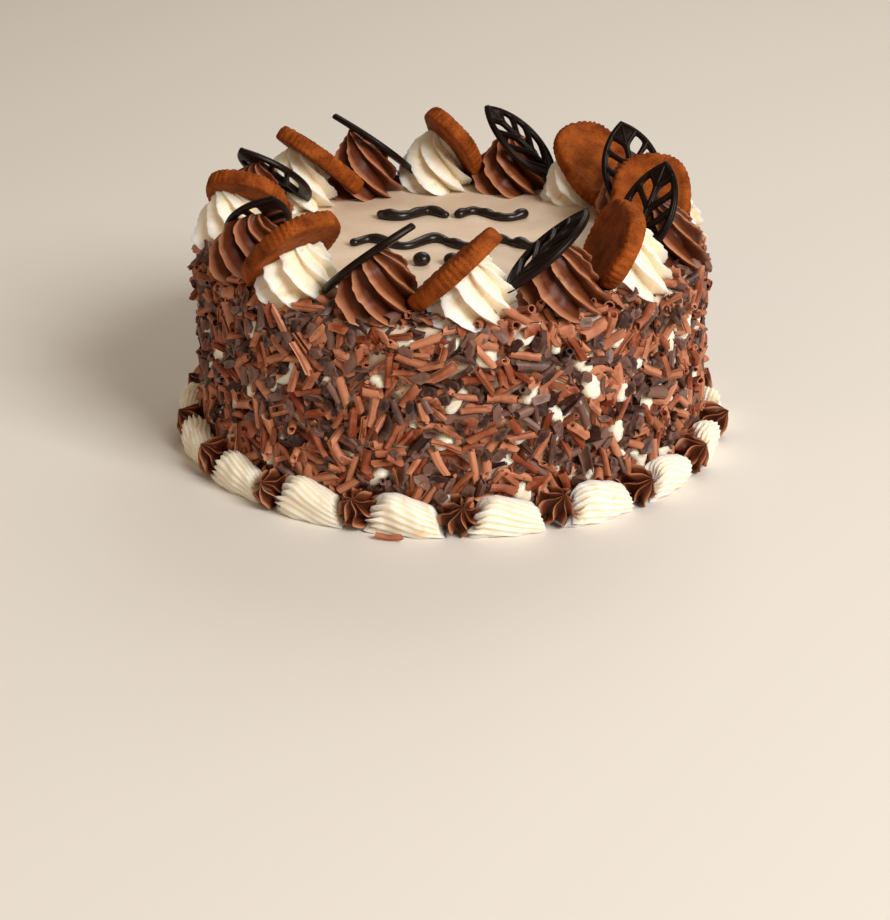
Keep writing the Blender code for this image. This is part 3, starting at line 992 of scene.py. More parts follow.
@dataclass(frozen=True)
class Rosette:
    """A star drop piped with a turn of the wrist: deep blades that wind up to a hooked tip."""

    radius: float = 21.8
    height: float = 36.5
    ridges: Ridges = Ridges(count=8, crest=0.3, before=5, after=8, hollow=1.45)
    groove: float = 0.31
    foot_lean: float = 62.0  # degrees of the ridges off the vertical
    tip_lean: float = 20.0
    rows: int = 46
    foot: float = CAKE_TOP - 0.5
    hook: float = 6.0  # how far the tip is drawn to one side
    hook_from: float = 0.72
    hook_power: float = 1.5
    tightest: float = 4.0  # the radius under which the ridges wind no faster
    crowding: float = 0.9  # under 1, the rows are closer together towards the tip
    heights: tuple[float, float] = (0.95, 1.03)
    uneven_depth: float = 0.08
    uneven_size: float = 0.025
    foot_depth: float = 1.15  # share of the groove's depth at the foot, and how much it loses on the way up
    depth_loss: float = 0.35
    lip: float = 4.0  # how far the closing grooves rise
    outline: Profile = ((0.0, 0.92), (0.05, 1.0), (0.14, 1.0), (0.3, 0.93), (0.5, 0.79), (0.68, 0.6),
                        (0.82, 0.39), (0.92, 0.2), (0.98, 0.07), (1.0, 0.02))
    lumps: Wobble = Wobble(seed=200, wavelength=13.0, amplitude=0.95)
    ragged: Wobble = Wobble(seed=300, wavelength=3.8, amplitude=0.42, waves=13)

    def reach(self, rise: np.ndarray) -> np.ndarray:
        """Radius at a share of the height: a full foot that draws in to the tip."""
        return self.radius * profile_at(self.outline, rise)

    def winding(self, rise: np.ndarray) -> np.ndarray:
        """How far the ridges have wound round at each level.

        Args:
            rise: shares of the height, from the foot up.

        Returns:
            Angles in radians that keep the ridges at their lean.
        """
        radius = self.reach(rise)
        step = np.hypot(np.diff(radius), np.diff(rise) * self.height)
        lean = np.radians(self.foot_lean + (self.tip_lean - self.foot_lean) * rise[1:])
        turns = step * np.tan(lean) / np.maximum(radius[1:], self.tightest)
        return -np.concatenate([[0.0], np.cumsum(turns)])

    def build(self, number: int) -> Shape:
        """Pipe one rosette at the front.

        Args:
            number: which rosette in the ring, as no two are quite the same.

        Returns:
            The closed shape.
        """
        rng = np.random.default_rng(100 + number)
        rise = np.linspace(0.0, 1.0, self.rows) ** self.crowding
        share, edge, ridge = self.ridges.share, self.ridges.edge, self.ridges.numbers
        start, hook = rng.uniform(0.0, TURN), rng.uniform(0.0, TURN)
        height = self.height * rng.uniform(*self.heights)
        uneven = 1.0 + rng.normal(0.0, self.uneven_depth, self.ridges.count)[ridge]
        size = 1.0 + rng.normal(0.0, self.uneven_size, self.ridges.count)[ridge]
        rows = []
        for level, radius, wind in zip(rise, self.reach(rise), self.winding(rise)):
            depth = self.groove * uneven * (self.foot_depth - self.depth_loss * level)
            reach = radius * size * (1.0 - depth * (1.0 - edge))
            angle = TURN * share + start + wind
            bend = self.hook * max(0.0, (level - self.hook_from) / (1.0 - self.hook_from)) ** self.hook_power
            ring = np.column_stack([reach * np.cos(angle) + bend * math.cos(hook),
                                    reach * np.sin(angle) + bend * math.sin(hook),
                                    np.full(self.ridges.columns, height * level)])
            # the grooves close up a little above the foot, so the blades end in lips
            ring[:, 2] += self.lip * (1.0 - edge) * level * (1.0 - level)
            rows.append(ring)
        points = np.concatenate([*rows, [[0.0, 0.0, 0.0], rows[-1].mean(axis=0) + [0.0, 0.0, 0.4]]])
        lumps = self.lumps.of(number).at(points)
        ragged = self.ragged.of(number).at(points) * self.ridges.tones(self.rows)
        points = widened(points, lumps + ragged, core=3.0) + [0.0, -ROSETTE_RING_RADIUS, self.foot]
        return self.ridges.closed(points)


def press(points: np.ndarray, topping: Biscuit | Leaf, seat: Seat, slope: float = 1.1,
          overlap: float = 0.25) -> np.ndarray:
    """Push cream down under a topping, and let it rise again beside the topping's edge.

    Args:
        points: the cream's places in mm.
        topping: what leans on it.
        seat: where that lies.
        slope: how steeply the cream rises from the edge.
        overlap: how far the cream reaches into the topping.

    Returns:
        The places after the topping is pushed in.
    """
    local = seat.to_local(points)
    under = -topping.thickness / 2 + overlap
    limit = under + slope * np.maximum(topping.distance(local), 0.0)
    local[:, 2] = np.minimum(local[:, 2], limit)
    return seat.to_world(local)


@dataclass(frozen=True)
class PipedRing:
    """The ring of rosettes with the biscuit or the leaf that leans on each."""

    rosette: Rosette = Rosette()
    biscuit: Biscuit = Biscuit()
    leaf: Leaf = Leaf()

    def dress(self) -> None:
        """Add every rosette and its topping."""
        creams = {Cream.WHITE: (WHIPPED_CREAM.build(), Slot.CREAM),
                  Cream.CHOCOLATE: (WHIPPED_GANACHE.build(), Slot.CHOCOLATE_CREAM)}
        toppings = {Cream.WHITE: ("biscuit", self.biscuit, CARAMEL_BISCUIT.build(), Slot.BISCUIT),
                    Cream.CHOCOLATE: ("leaf", self.leaf, MOULDED_CHOCOLATE.build(), Slot.DARK_CHOCOLATE)}
        for number in range(ROSETTE_COUNT):
            azimuth = ROSETTE_FIRST_AZIMUTH + 360.0 / ROSETTE_COUNT * number
            kind = Cream.WHITE if number % 2 == 0 else Cream.CHOCOLATE
            place = number // 2 + 1
            label, topping, surface, topping_slot = toppings[kind]
            seat = Seat.of(f"{label}_{place}")
            swirl = self.rosette.build(number)
            swirl.points = press(turned(swirl.points, azimuth), topping, seat)
            finish, slot = creams[kind]
            add_piece(f"{kind.value}_swirl_{place}", swirl, finish, [f"{kind.value}_rosette_{place}"])
            flat = topping.build(number)
            flat.points = seat.to_world(flat.points)
            add_piece(f"{label}_piece_{place}", flat, surface, [f"{label}_{place}"],
                      sharp=50.0)


# Border round the foot

@dataclass(frozen=True)
class StarDrop:
    """A chocolate star pressed into the foot of the coat and drawn off outward and up."""

    radius: float = 10.5
    length: float = 16.5
    ridges: Ridges = Ridges(count=8, crest=0.5, before=6, after=6, hollow=3.2)
    rows: int = 22
    groove: float = 0.5
    slope: float = 43.0
    slope_swing: float = 7.0
    side_swing: float = 0.15
    foot_radius: float = 133.0
    foot_height: float = 6.0
    sizes: tuple[float, float] = (0.94, 1.05)
    twist: float = 0.35
    waviness: float = 0.16
    outline: Profile = ((0.0, 0.85), (0.2, 1.0), (0.42, 1.0), (0.62, 0.8), (0.8, 0.46), (0.93, 0.16),
                        (1.0, 0.02))
    lumps: Wobble = Wobble(seed=520, wavelength=9.0, amplitude=0.35)

    def build(self, number: int) -> Shape:
        """Pipe one star at the front.

        Args:
            number: which star round the foot.

        Returns:
            The closed shape.
        """
        rng = np.random.default_rng(500 + number)
        slope = math.radians(self.slope + rng.uniform(-self.slope_swing, self.slope_swing))
        sideways = rng.uniform(-self.side_swing, self.side_swing)
        forward = np.array([sideways, -math.cos(slope), math.sin(slope)])
        forward /= np.linalg.norm(forward)
        right = np.cross(forward, [0.0, 0.0, 1.0])
        right /= np.linalg.norm(right)
        upward = np.cross(right, forward)
        share, edge, ridge = self.ridges.share, self.ridges.edge, self.ridges.numbers
        start, size = rng.uniform(0.0, TURN), rng.uniform(*self.sizes)
        rows = []
        for along in np.linspace(0.0, 1.0, self.rows):
            reach = float(profile_at(self.outline, along))
            radius = size * self.radius * reach * (1.0 - self.groove * (1.0 - edge))
            sway = self.waviness * np.sin(9.0 * along + 2.0 * ridge + number)
            angle = TURN * share + start + self.twist * along + sway
            rows.append(np.array([0.0, -self.foot_radius, self.foot_height]) + forward * self.length * along
                        + np.outer(radius * np.cos(angle), right) + np.outer(radius * np.sin(angle), upward))
        points = np.concatenate([*rows, [rows[0].mean(axis=0), rows[-1].mean(axis=0) + forward * 0.4]])
        points = points + self.lumps.of(number).at(points)[:, None] * [1, 1, 0]
        points[:, 2] = np.maximum(points[:, 2], 0.0)
        return self.ridges.closed(points)


@dataclass(frozen=True)
class Shell:
    """A cream shell piped along the foot: a toothed head, ridges that wind over it, and a blunt tail."""

    start: float = 4.0  # degrees past the star's middle
    end: float = 16.2
    height: float = 20.0
    depth: float = 15.0
    ridges: Ridges = Ridges(count=17, crest=0.5, before=3, after=3, hollow=1.0)
    rows: int = 32
    groove: float = 0.1
    squareness: float = 2.5  # exponent of the plump section: 2 is round
    tooth: float = 2.0  # degrees that a tooth reaches out of the head
    tail_tooth: float = 0.6
    wind: float = -0.9  # radians that the ridges wind over from head to tail
    droop: float = 0.15  # share of the height that the tail is lower
    sway: float = 0.5
    lean: float = 2.2  # degrees that the top of the head leans back and that of the tail forward
    overlap: float = 0.8  # how far it reaches into the coat
    sizes: tuple[float, float] = (0.94, 1.03)
    teeth: tuple[float, float] = (0.2, 1.3)  # shares of the tooth and of the winding, by chance
    winds: tuple[float, float] = (0.7, 1.3)
    head_part: float = 0.3  # share of the length over which the teeth fade
    tail_part: float = 0.2
    middle_height: float = 0.42  # shares of the height: the section's middle, and its reach over that
    crown_height: float = 0.55
    middle_radius: float = 140.0
    lump_rise: float = 0.04
    outline: Profile = ((0.0, 0.66), (0.04, 0.84), (0.12, 0.98), (0.26, 1.04), (0.45, 1.0), (0.65, 0.95),
                        (0.82, 0.9), (0.94, 0.85), (1.0, 0.74))
    lumps: Wobble = Wobble(seed=720, wavelength=11.0, amplitude=0.5)

    def build(self, number: int) -> Shape:
        """Pipe one shell, starting just past the front.

        Args:
            number: which shell round the foot.

        Returns:
            The closed shape.
        """
        rng = np.random.default_rng(700 + number)
        share, edge, ridge = self.ridges.share, self.ridges.edge, self.ridges.numbers
        size = rng.uniform(*self.sizes)
        tooth = self.tooth * rng.uniform(*self.teeth, self.ridges.count)[ridge] * edge
        tail = self.tail_tooth * rng.uniform(0.0, 1.0, self.ridges.count)[ridge] * edge
        start, wind = rng.uniform(0.0, TURN), self.wind * rng.uniform(*self.winds)
        rows = []
        for along in np.linspace(0.0, 1.0, self.rows):
            envelope = float(profile_at(self.outline, along))
            angle = start - TURN * share + wind * along
            plump = (np.abs(np.cos(angle)) ** self.squareness
                     + np.abs(np.sin(angle)) ** self.squareness) ** (-1.0 / self.squareness)
            section = envelope * size * plump * (1.0 - self.groove * (1.0 - edge))
            sway = self.sway * math.sin(3.0 * along + number)
            outward = self.depth / 2 + (self.depth / 2 * section) * np.cos(angle) + sway
            crown = self.middle_height * envelope + self.crown_height * section * np.sin(angle)
            height = self.height * (1.0 - self.droop * along) * crown
            shift = (-tooth * (1.0 - smoothstep(along / self.head_part))
                     + tail * smoothstep((along - 1.0 + self.tail_part) / self.tail_part)
                     + self.lean * np.sin(angle) * (0.5 - along))
            azimuth = np.radians(self.start + (self.end - self.start) * along + shift)
            radius = BORDER_BACK_RADIUS - self.overlap + outward
            rows.append(ring_at(radius, azimuth, np.maximum(height, 0.0)))
        points = np.concatenate([*rows, [rows[0].mean(axis=0), rows[-1].mean(axis=0)]])
        lumps = self.lumps.of(number).at(points)
        points[:, :2] *= (1.0 + lumps / self.middle_radius)[:, None]
        points[:, 2] = np.maximum(points[:, 2] * (1.0 + self.lump_rise * lumps), 0.0)
        return self.ridges.closed(points)


@dataclass(frozen=True)
class Border:
    """The border of star drops and shells by turns."""

    star: StarDrop = StarDrop()
    shell: Shell = Shell()

    def dress(self) -> None:
        """Add every star and shell."""
        ganache, cream = WHIPPED_GANACHE.build(), WHIPPED_CREAM.build()
        for number in range(BORDER_PAIRS):
            azimuth = BORDER_FIRST_AZIMUTH + 360.0 / BORDER_PAIRS * number
            node = f"border_{number + 1}"
            star, shell = self.star.build(number), self.shell.build(number)
            star.points, shell.points = turned(star.points, azimuth), turned(shell.points, azimuth)
            add_piece(f"star_drop_{number + 1}", star, ganache, [node])
            add_piece(f"shell_{number + 1}", shell, cream, [node])


# Coat of curls

@dataclass(frozen=True)
class Roll:
    """A curl shaved off a block: a thin sheet rolled up, with frayed ends."""

    length: tuple[float, float]
    radius: tuple[float, float]
    turns: tuple[float, float]
    sheet: float = 0.5
    arcs: int = 10
    rows: int = 3
    gap: float = 0.2  # air between the turns
    unevenness: tuple[float, float] = (0.75, 1.2)  # share of the sheet's thickness
    fray: float = 0.4
    slant: float = 1.7  # how far an end may be cut askew
    bow: float = 0.6
    taper: float = 0.2
    pale_ends: float = 0.22
    mottle: float = 0.1

    def build(self, rng: np.random.Generator) -> tuple[Shape, float, float]:
        """Roll one curl along X.

        Args:
            rng: the seeded source of its unevenness.

        Returns:
            The shape, its half length and its half thickness.
        """
        length, outer = rng.uniform(*self.length), rng.uniform(*self.radius)
        turns = rng.uniform(*self.turns)
        step = np.arange(self.arcs + 1) / self.arcs
        angle = step * turns * TURN + rng.uniform(0.0, TURN)
        draw = min(turns * (self.sheet + self.gap), outer - self.sheet - 0.15)
        spiral = outer - draw * (1.0 - step)
        outer_ring = np.column_stack([spiral * np.cos(angle), spiral * np.sin(angle)])
        inner = np.maximum(spiral - self.sheet * rng.uniform(*self.unevenness), 0.1)
        inner_ring = np.column_stack([inner * np.cos(angle), inner * np.sin(angle)])[::-1]
        ring = np.concatenate([outer_ring, inner_ring])
        fray = rng.normal(0.0, self.fray, (2, self.arcs + 1))
        fray = fray + rng.uniform(-self.slant, self.slant, (2, 1)) * np.cos(angle)
        bow, taper = rng.normal(0.0, self.bow), rng.uniform(-self.taper, self.taper)
        rows = []
        for row in range(self.rows):
            along = row / (self.rows - 1) - 0.5
            x = np.full(2 * (self.arcs + 1), length * along)
            if row in (0, self.rows - 1):
                end = fray[0 if row == 0 else 1]
                x += np.concatenate([end, end[::-1]])
            section = ring * (1.0 + taper * along)
            section[:, 1] += bow * (1.0 - 4.0 * along * along)
            rows.append(np.column_stack([x, section]))
        columns = 2 * (self.arcs + 1)
        last = (self.rows - 1) * columns
        faces = tube_faces(self.rows, columns)
        for i in range(self.arcs):
            inner_i, inner_next = columns - 1 - i, columns - 2 - i
            faces.append([i, inner_i, inner_next, i + 1])
            faces.append([last + i + 1, last + inner_next, last + inner_i, last + i])
        points = np.concatenate(rows)
        ends = np.zeros((self.rows, columns))
        ends[0], ends[-1] = self.pale_ends, self.pale_ends
        return Shape(points, faces, ends.ravel() + rng.normal(0.0, self.mottle, ends.size)), length / 2, outer


@dataclass(frozen=True)
class Chip:
    """A thin piece broken off a block: an uneven outline with a slight bend."""

    length: tuple[float, float]
    width: tuple[float, float]
    thickness: tuple[float, float]
    bend: tuple[float, float]
    corners: int = 8
    rough: float = 0.12
    rim: tuple[float, float] = (0.72, 1.12)  # how uneven the outline is
    jitter: float = 0.28
    waist: float = 0.55  # where the ring of points inside the rim lies
    pale_rim: float = 0.28
    mottle: float = 0.14
    slack: float = 0.5  # thickness added for the bend

    def build(self, rng: np.random.Generator) -> tuple[Shape, float, float]:
        """Break one chip off, lying in the XY plane.

        Args:
            rng: the seeded source of its unevenness.

        Returns:
            The shape, its half length and its half thickness.
        """
        length, width = rng.uniform(*self.length), rng.uniform(*self.width)
        half = rng.uniform(*self.thickness) / 2
        jitter = rng.uniform(-self.jitter, self.jitter, self.corners)
        angle = (np.arange(self.corners) + jitter) * TURN / self.corners
        rim = rng.uniform(*self.rim, self.corners)
        outline = np.column_stack([length / 2 * np.cos(angle) * rim, width / 2 * np.sin(angle) * rim])
        layer = np.concatenate([[[0.0, 0.0]], outline * self.waist, outline])
        curve = rng.uniform(*self.bend) * (layer[:, 1] * 2 / width) ** 2
        curve = curve + rng.normal(0.0, self.rough, len(layer))
        top = np.column_stack([layer, half - curve])
        bottom = np.column_stack([layer, -half - curve])
        count = len(layer)
        faces: list[list[int]] = []
        for i in range(self.corners):
            j = (i + 1) % self.corners
            mid, mid_next = 1 + i, 1 + j
            rim_i, rim_next = mid + self.corners, mid_next + self.corners
            faces += [[0, mid, mid_next], [mid, rim_i, rim_next, mid_next]]
            faces += [[count, count + mid_next, count + mid],
                      [count + mid, count + mid_next, count + rim_next, count + rim_i]]
            faces.append([rim_i, count + rim_i, count + rim_next, rim_next])
        tones = np.tile(np.concatenate([np.zeros(1 + self.corners), np.full(self.corners, self.pale_rim)]), 2)
        tones += rng.normal(0.0, self.mottle, len(tones))
        return Shape(np.concatenate([top, bottom]), faces, tones), length / 2, half + self.slack


@dataclass(frozen=True)
class SqueezedCream:
    """The cream that the curls are pressed into: it bulges out between them in uneven patches."""

    low: float = 3.0
    high: float = 96.5
    columns: int = 560
    rings: int = 62
    bulge: float = 6.4
    sunk: float = 2.0  # how deep under the spread cream it lies where it doesn't bulge
    start: float = 0.28
    reach: float = 0.8
    ease: float = 4.0
    patches: Wobble = Wobble(seed=8, wavelength=15.0, amplitude=1.0, waves=14)
    lumps: Wobble = Wobble(seed=9, wavelength=4.0, amplitude=0.3, waves=12)
    tone: float = 0.42

    def height(self, around: np.ndarray, up: np.ndarray | float) -> np.ndarray:
        """How far the cream stands out of the side.

        Args:
            around: distances round the cake.
            up: heights.

        Returns:
            The height in mm over the side, below 0 where it doesn't show.
        """
        points = ring_at(CREAM_RADIUS, around / CREAM_RADIUS, up)
        rise = smoothstep((self.patches.at(points) - self.start) / self.reach)
        ends = smoothstep((up - self.low) / self.ease) * smoothstep((self.high - up) / self.ease)
        return self.bulge * rise * ends - self.sunk

    def build(self) -> Shape:
        """Model the cream as a ring, closed on its inside.

        Returns:
            The closed shape.
        """
        around = np.arange(self.columns) * TURN / self.columns
        inside = CREAM_RADIUS - 2.0 * self.sunk
        rows = [ring_at(inside, around, z) for z in (self.high, self.low)]
        for z in np.linspace(self.low, self.high, self.rings):
            ring = ring_at(CREAM_RADIUS + self.height(around * CREAM_RADIUS, z), around, z)
            ring[:, :2] *= (1.0 + self.lumps.at(ring) / CREAM_RADIUS)[:, None]
            rows.append(ring)
        faces = tube_faces(len(rows), self.columns)
        last = (len(rows) - 1) * self.columns
        for i in range(self.columns):
            after = (i + 1) % self.columns
            faces.append([last + i, last + after, after, i])
        points = np.concatenate(rows)
        return Shape(points, faces, np.full(len(points), self.tone))


@dataclass(frozen=True)
class Lie:
    """How a long piece lies on the coat."""

    around: float
    up: float
    turn: float
    middle: float
    slope: float


@dataclass
class Heap:
    """How thick the coat is so far, over the cake's side unrolled, which runs on over the top edge."""

    low: float = 4.0
    high: float = 107.0
    cell: float = 0.7
    sink: float = 1.1
    thickest: float = 7.5
    steepest: float = 0.5
    stations: int = 7  # places along a piece at which it may touch what is there
    felt_length: float = 0.85  # shares of its length and thickness that touch
    felt_width: float = 0.6
    margin: float = 12.0  # how far the record runs on past the highest place
    fineness: float = 0.8  # step in which a piece is recorded, as a share of a cell
    swell: Wobble = Wobble(seed=11, wavelength=38.0, amplitude=0.9)
    cover: np.ndarray = field(init=False)

    def __post_init__(self) -> None:
        """Start from the bare cream."""
        self.columns = round(TURN * CREAM_RADIUS / self.cell)
        self.rows = round((self.high + self.margin) / self.cell)
        self.cover = np.zeros((self.columns, self.rows))

    def cells(self, around: np.ndarray, up: np.ndarray) -> tuple[np.ndarray, np.ndarray]:
        """Cells of places given by the distance round and up."""
        column = np.floor(around / self.cell).astype(int) % self.columns
        row = np.clip(np.floor(up / self.cell).astype(int), 0, self.rows - 1)
        return column, row

    def frame(self, around: float, up: float) -> tuple[np.ndarray, np.ndarray]:
        """Where a place on the unrolled side is on the cake.

        Args:
            around: distance round.
            up: distance up the side, round the edge and in over the top.

        Returns:
            The place, and its axes as rows: round, up along the surface, and out of it.
        """
        flat = CAKE_TOP - TOP_EDGE
        bend = min(max((up - flat) / TOP_EDGE, 0.0), math.pi / 2)
        inward = max(up - flat - TOP_EDGE * math.pi / 2, 0.0)
        radius = CREAM_RADIUS - TOP_EDGE * (1.0 - math.cos(bend)) - inward
        height = min(up, flat) + TOP_EDGE * math.sin(bend)
        way, upward, outward = azimuth_axes(around / CREAM_RADIUS)
        normal = outward * math.cos(bend) + upward * math.sin(bend)
        along = upward * math.cos(bend) - outward * math.sin(bend)
        return outward * radius + upward * height, np.array([way, along, normal])

    def footprint(self, lie: Lie, along: np.ndarray, across: np.ndarray) -> tuple[np.ndarray, np.ndarray]:
        """Cells under a piece, for distances along and across it."""
        c, s = math.cos(lie.turn), math.sin(lie.turn)
        return self.cells(lie.around + along * c - across * s, lie.up + along * s + across * c)

    def rest(self, around: float, up: float, turn: float, half_length: float, half: float) -> Lie:
        """Find how a piece comes to rest on what is there.

        Args:
            around: distance round the cake of its middle.
            up: height of its middle.
            turn: its direction in the side's plane, in radians.
            half_length: half its length.
            half: half its thickness.

        Returns:
            Its lie.
        """
        steps = np.linspace(-1.0, 1.0, self.stations) * half_length * self.felt_length
        widths = np.array([-self.felt_width, 0.0, self.felt_width]) * half
        along, across = np.meshgrid(steps, widths, indexing="ij")
        flat = Lie(around, up, turn, 0.0, 0.0)
        base = self.cover[self.footprint(flat, along, across)].mean(axis=1)
        support, centre = int(base.argmax()), self.stations // 2
        slope = 0.0
        if support != centre:
            far = slice(0, centre) if support > centre else slice(centre + 1, self.stations)
            rises = (base[support] - base[far]) / np.abs(steps[support] - steps[far])
            slope = min(float(rises.min()), self.steepest) * (1.0 if support > centre else -1.0)
        middle = float(base[support]) - slope * float(steps[support]) + half - self.sink
        return Lie(around, up, turn, middle, slope)

    def limit(self, around: float, up: float) -> float:
        """How thick the coat may be at a place."""
        return self.thickest + float(self.swell.at(np.array([[around, up, 0.0]]))[0])

    def start_on(self, cream: SqueezedCream) -> None:
        """Let the coat lie on the bulges of the cream."""
        column, row = np.meshgrid(np.arange(self.columns), np.arange(self.rows), indexing="ij")
        bulges = cream.height(column.ravel() * self.cell, row.ravel() * self.cell)
        self.cover = np.maximum(bulges, 0.0).reshape(self.cover.shape)

    def record(self, lie: Lie, half_length: float, half: float) -> None:
        """Add a piece's thickness to the coat.

        Args:
            lie: how it lies.
            half_length: half its length.
            half: half its thickness.
        """
        step = self.cell * self.fineness
        along, across = np.meshgrid(np.arange(-half_length, half_length + step / 2, step),
                                    np.arange(-half, half + step / 2, step), indexing="ij")
        surface = lie.middle + lie.slope * along + np.sqrt(np.maximum(half * half - across * across, 0.0))
        np.maximum.at(self.cover, self.footprint(lie, along, across), surface)

    def bare(self) -> tuple[np.ndarray, np.ndarray]:
        """Distances round and up of the cells on which the cream still shows."""
        first = round(self.low / self.cell)
        column, row = np.nonzero(self.cover[:, first:round(self.high / self.cell)] <= 0.0)
        return column * self.cell, (row + first) * self.cell


@dataclass(frozen=True)
class Shavings:
    """One kind of shaving in the coat, and how many of them."""

    name: str
    form: Roll | Chip
    count: int
    tries: int = 9
    stuck: float = 0.0  # share of them that stand out of the cream at a slant
    rounds: int = 6  # how many of the first rounds it is laid in
    fill: int = 0  # how many are laid at the end where the cream is still bare
    stuck_slope: tuple[float, float] = (0.7, 1.6)
    stuck_lift: float = 0.4  # how far one that stands is clear of the cream, and how far it may pass the rest
    stuck_past: float = 1.0
    foot_gap: float = 0.5
    high_end: float = 0.6  # share of its half length at which a sloping one counts as the coat's thickness
    roll: float = 0.3
    tone_range: float = 0.9

    def place(self, heap: Heap, rng: np.random.Generator, count: int, bare_only: bool = False) -> list[Shape]:
        """Press some of this kind into the coat, each where it is thinnest of a few places.

        Args:
            heap: the coat so far.
            rng: the seeded source of places.
            count: how many.
            bare_only: whether they only go where the cream is bare.

        Returns:
            The pieces in the cake's frame.
        """
        pieces = []
        bare = heap.bare() if bare_only else None
        for _ in range(count):
            shape, half_length, half = self.form.build(rng)
            lies = []
            for _ in range(self.tries):
                turn = rng.uniform(0.0, math.pi)
                lowest = max(heap.low, half_length * math.sin(turn) + self.foot_gap)
                if bare:
                    spot = rng.integers(len(bare[0]))
                    around, up = bare[0][spot], max(bare[1][spot], lowest)
                else:
                    around, up = rng.uniform(0.0, TURN * CREAM_RADIUS), rng.uniform(lowest, heap.high)
                lies.append(heap.rest(around, up, turn, half_length, half))
            best = min(lies, key=lambda lie: lie.middle)
            if rng.uniform() < self.stuck:
                slope = rng.uniform(*self.stuck_slope) * rng.choice([-1.0, 1.0])
                rise = half_length * abs(slope) / math.hypot(1.0, slope)
                best = Lie(best.around, max(best.up, half_length), best.turn,
                           min(rise + self.stuck_lift, heap.thickest - rise + self.stuck_past), slope)
            top = best.middle + half + self.high_end * half_length * min(abs(best.slope), heap.steepest)
            if top > heap.limit(best.around, best.up):
                continue
            heap.record(best, half_length, half)
            pieces.append(self.laid(shape, heap, best, rng))
        return pieces

    def laid(self, shape: Shape, heap: Heap, lie: Lie, rng: np.random.Generator) -> Shape:
        """Carry a piece from its own frame to its place.

        Args:
            shape: the piece along X.
            heap: the coat that it lies on.
            lie: how it lies.
            rng: the seeded source of its roll and tone.

        Returns:
            The placed piece.
        """
        lift = math.atan(lie.slope)
        level = np.array([math.cos(lie.turn), math.sin(lie.turn), 0.0])
        axis = level * math.cos(lift) + np.array([0.0, 0.0, math.sin(lift)])
        side = np.array([-math.sin(lie.turn), math.cos(lie.turn), 0.0])
        out = np.cross(axis, side)
        roll = rng.normal(0.0, self.roll)
        side, out = side * math.cos(roll) + out * math.sin(roll), out * math.cos(roll) - side * math.sin(roll)
        place, axes = heap.frame(lie.around, lie.up)
        points = shape.points @ np.array([axis, side, out]) @ axes + place + lie.middle * axes[2]
        points[:, 2] = np.maximum(points[:, 2], 0.05)
        return Shape(points, shape.faces, self.tone_range * rng.uniform(0.0, 1.0) + shape.tones)


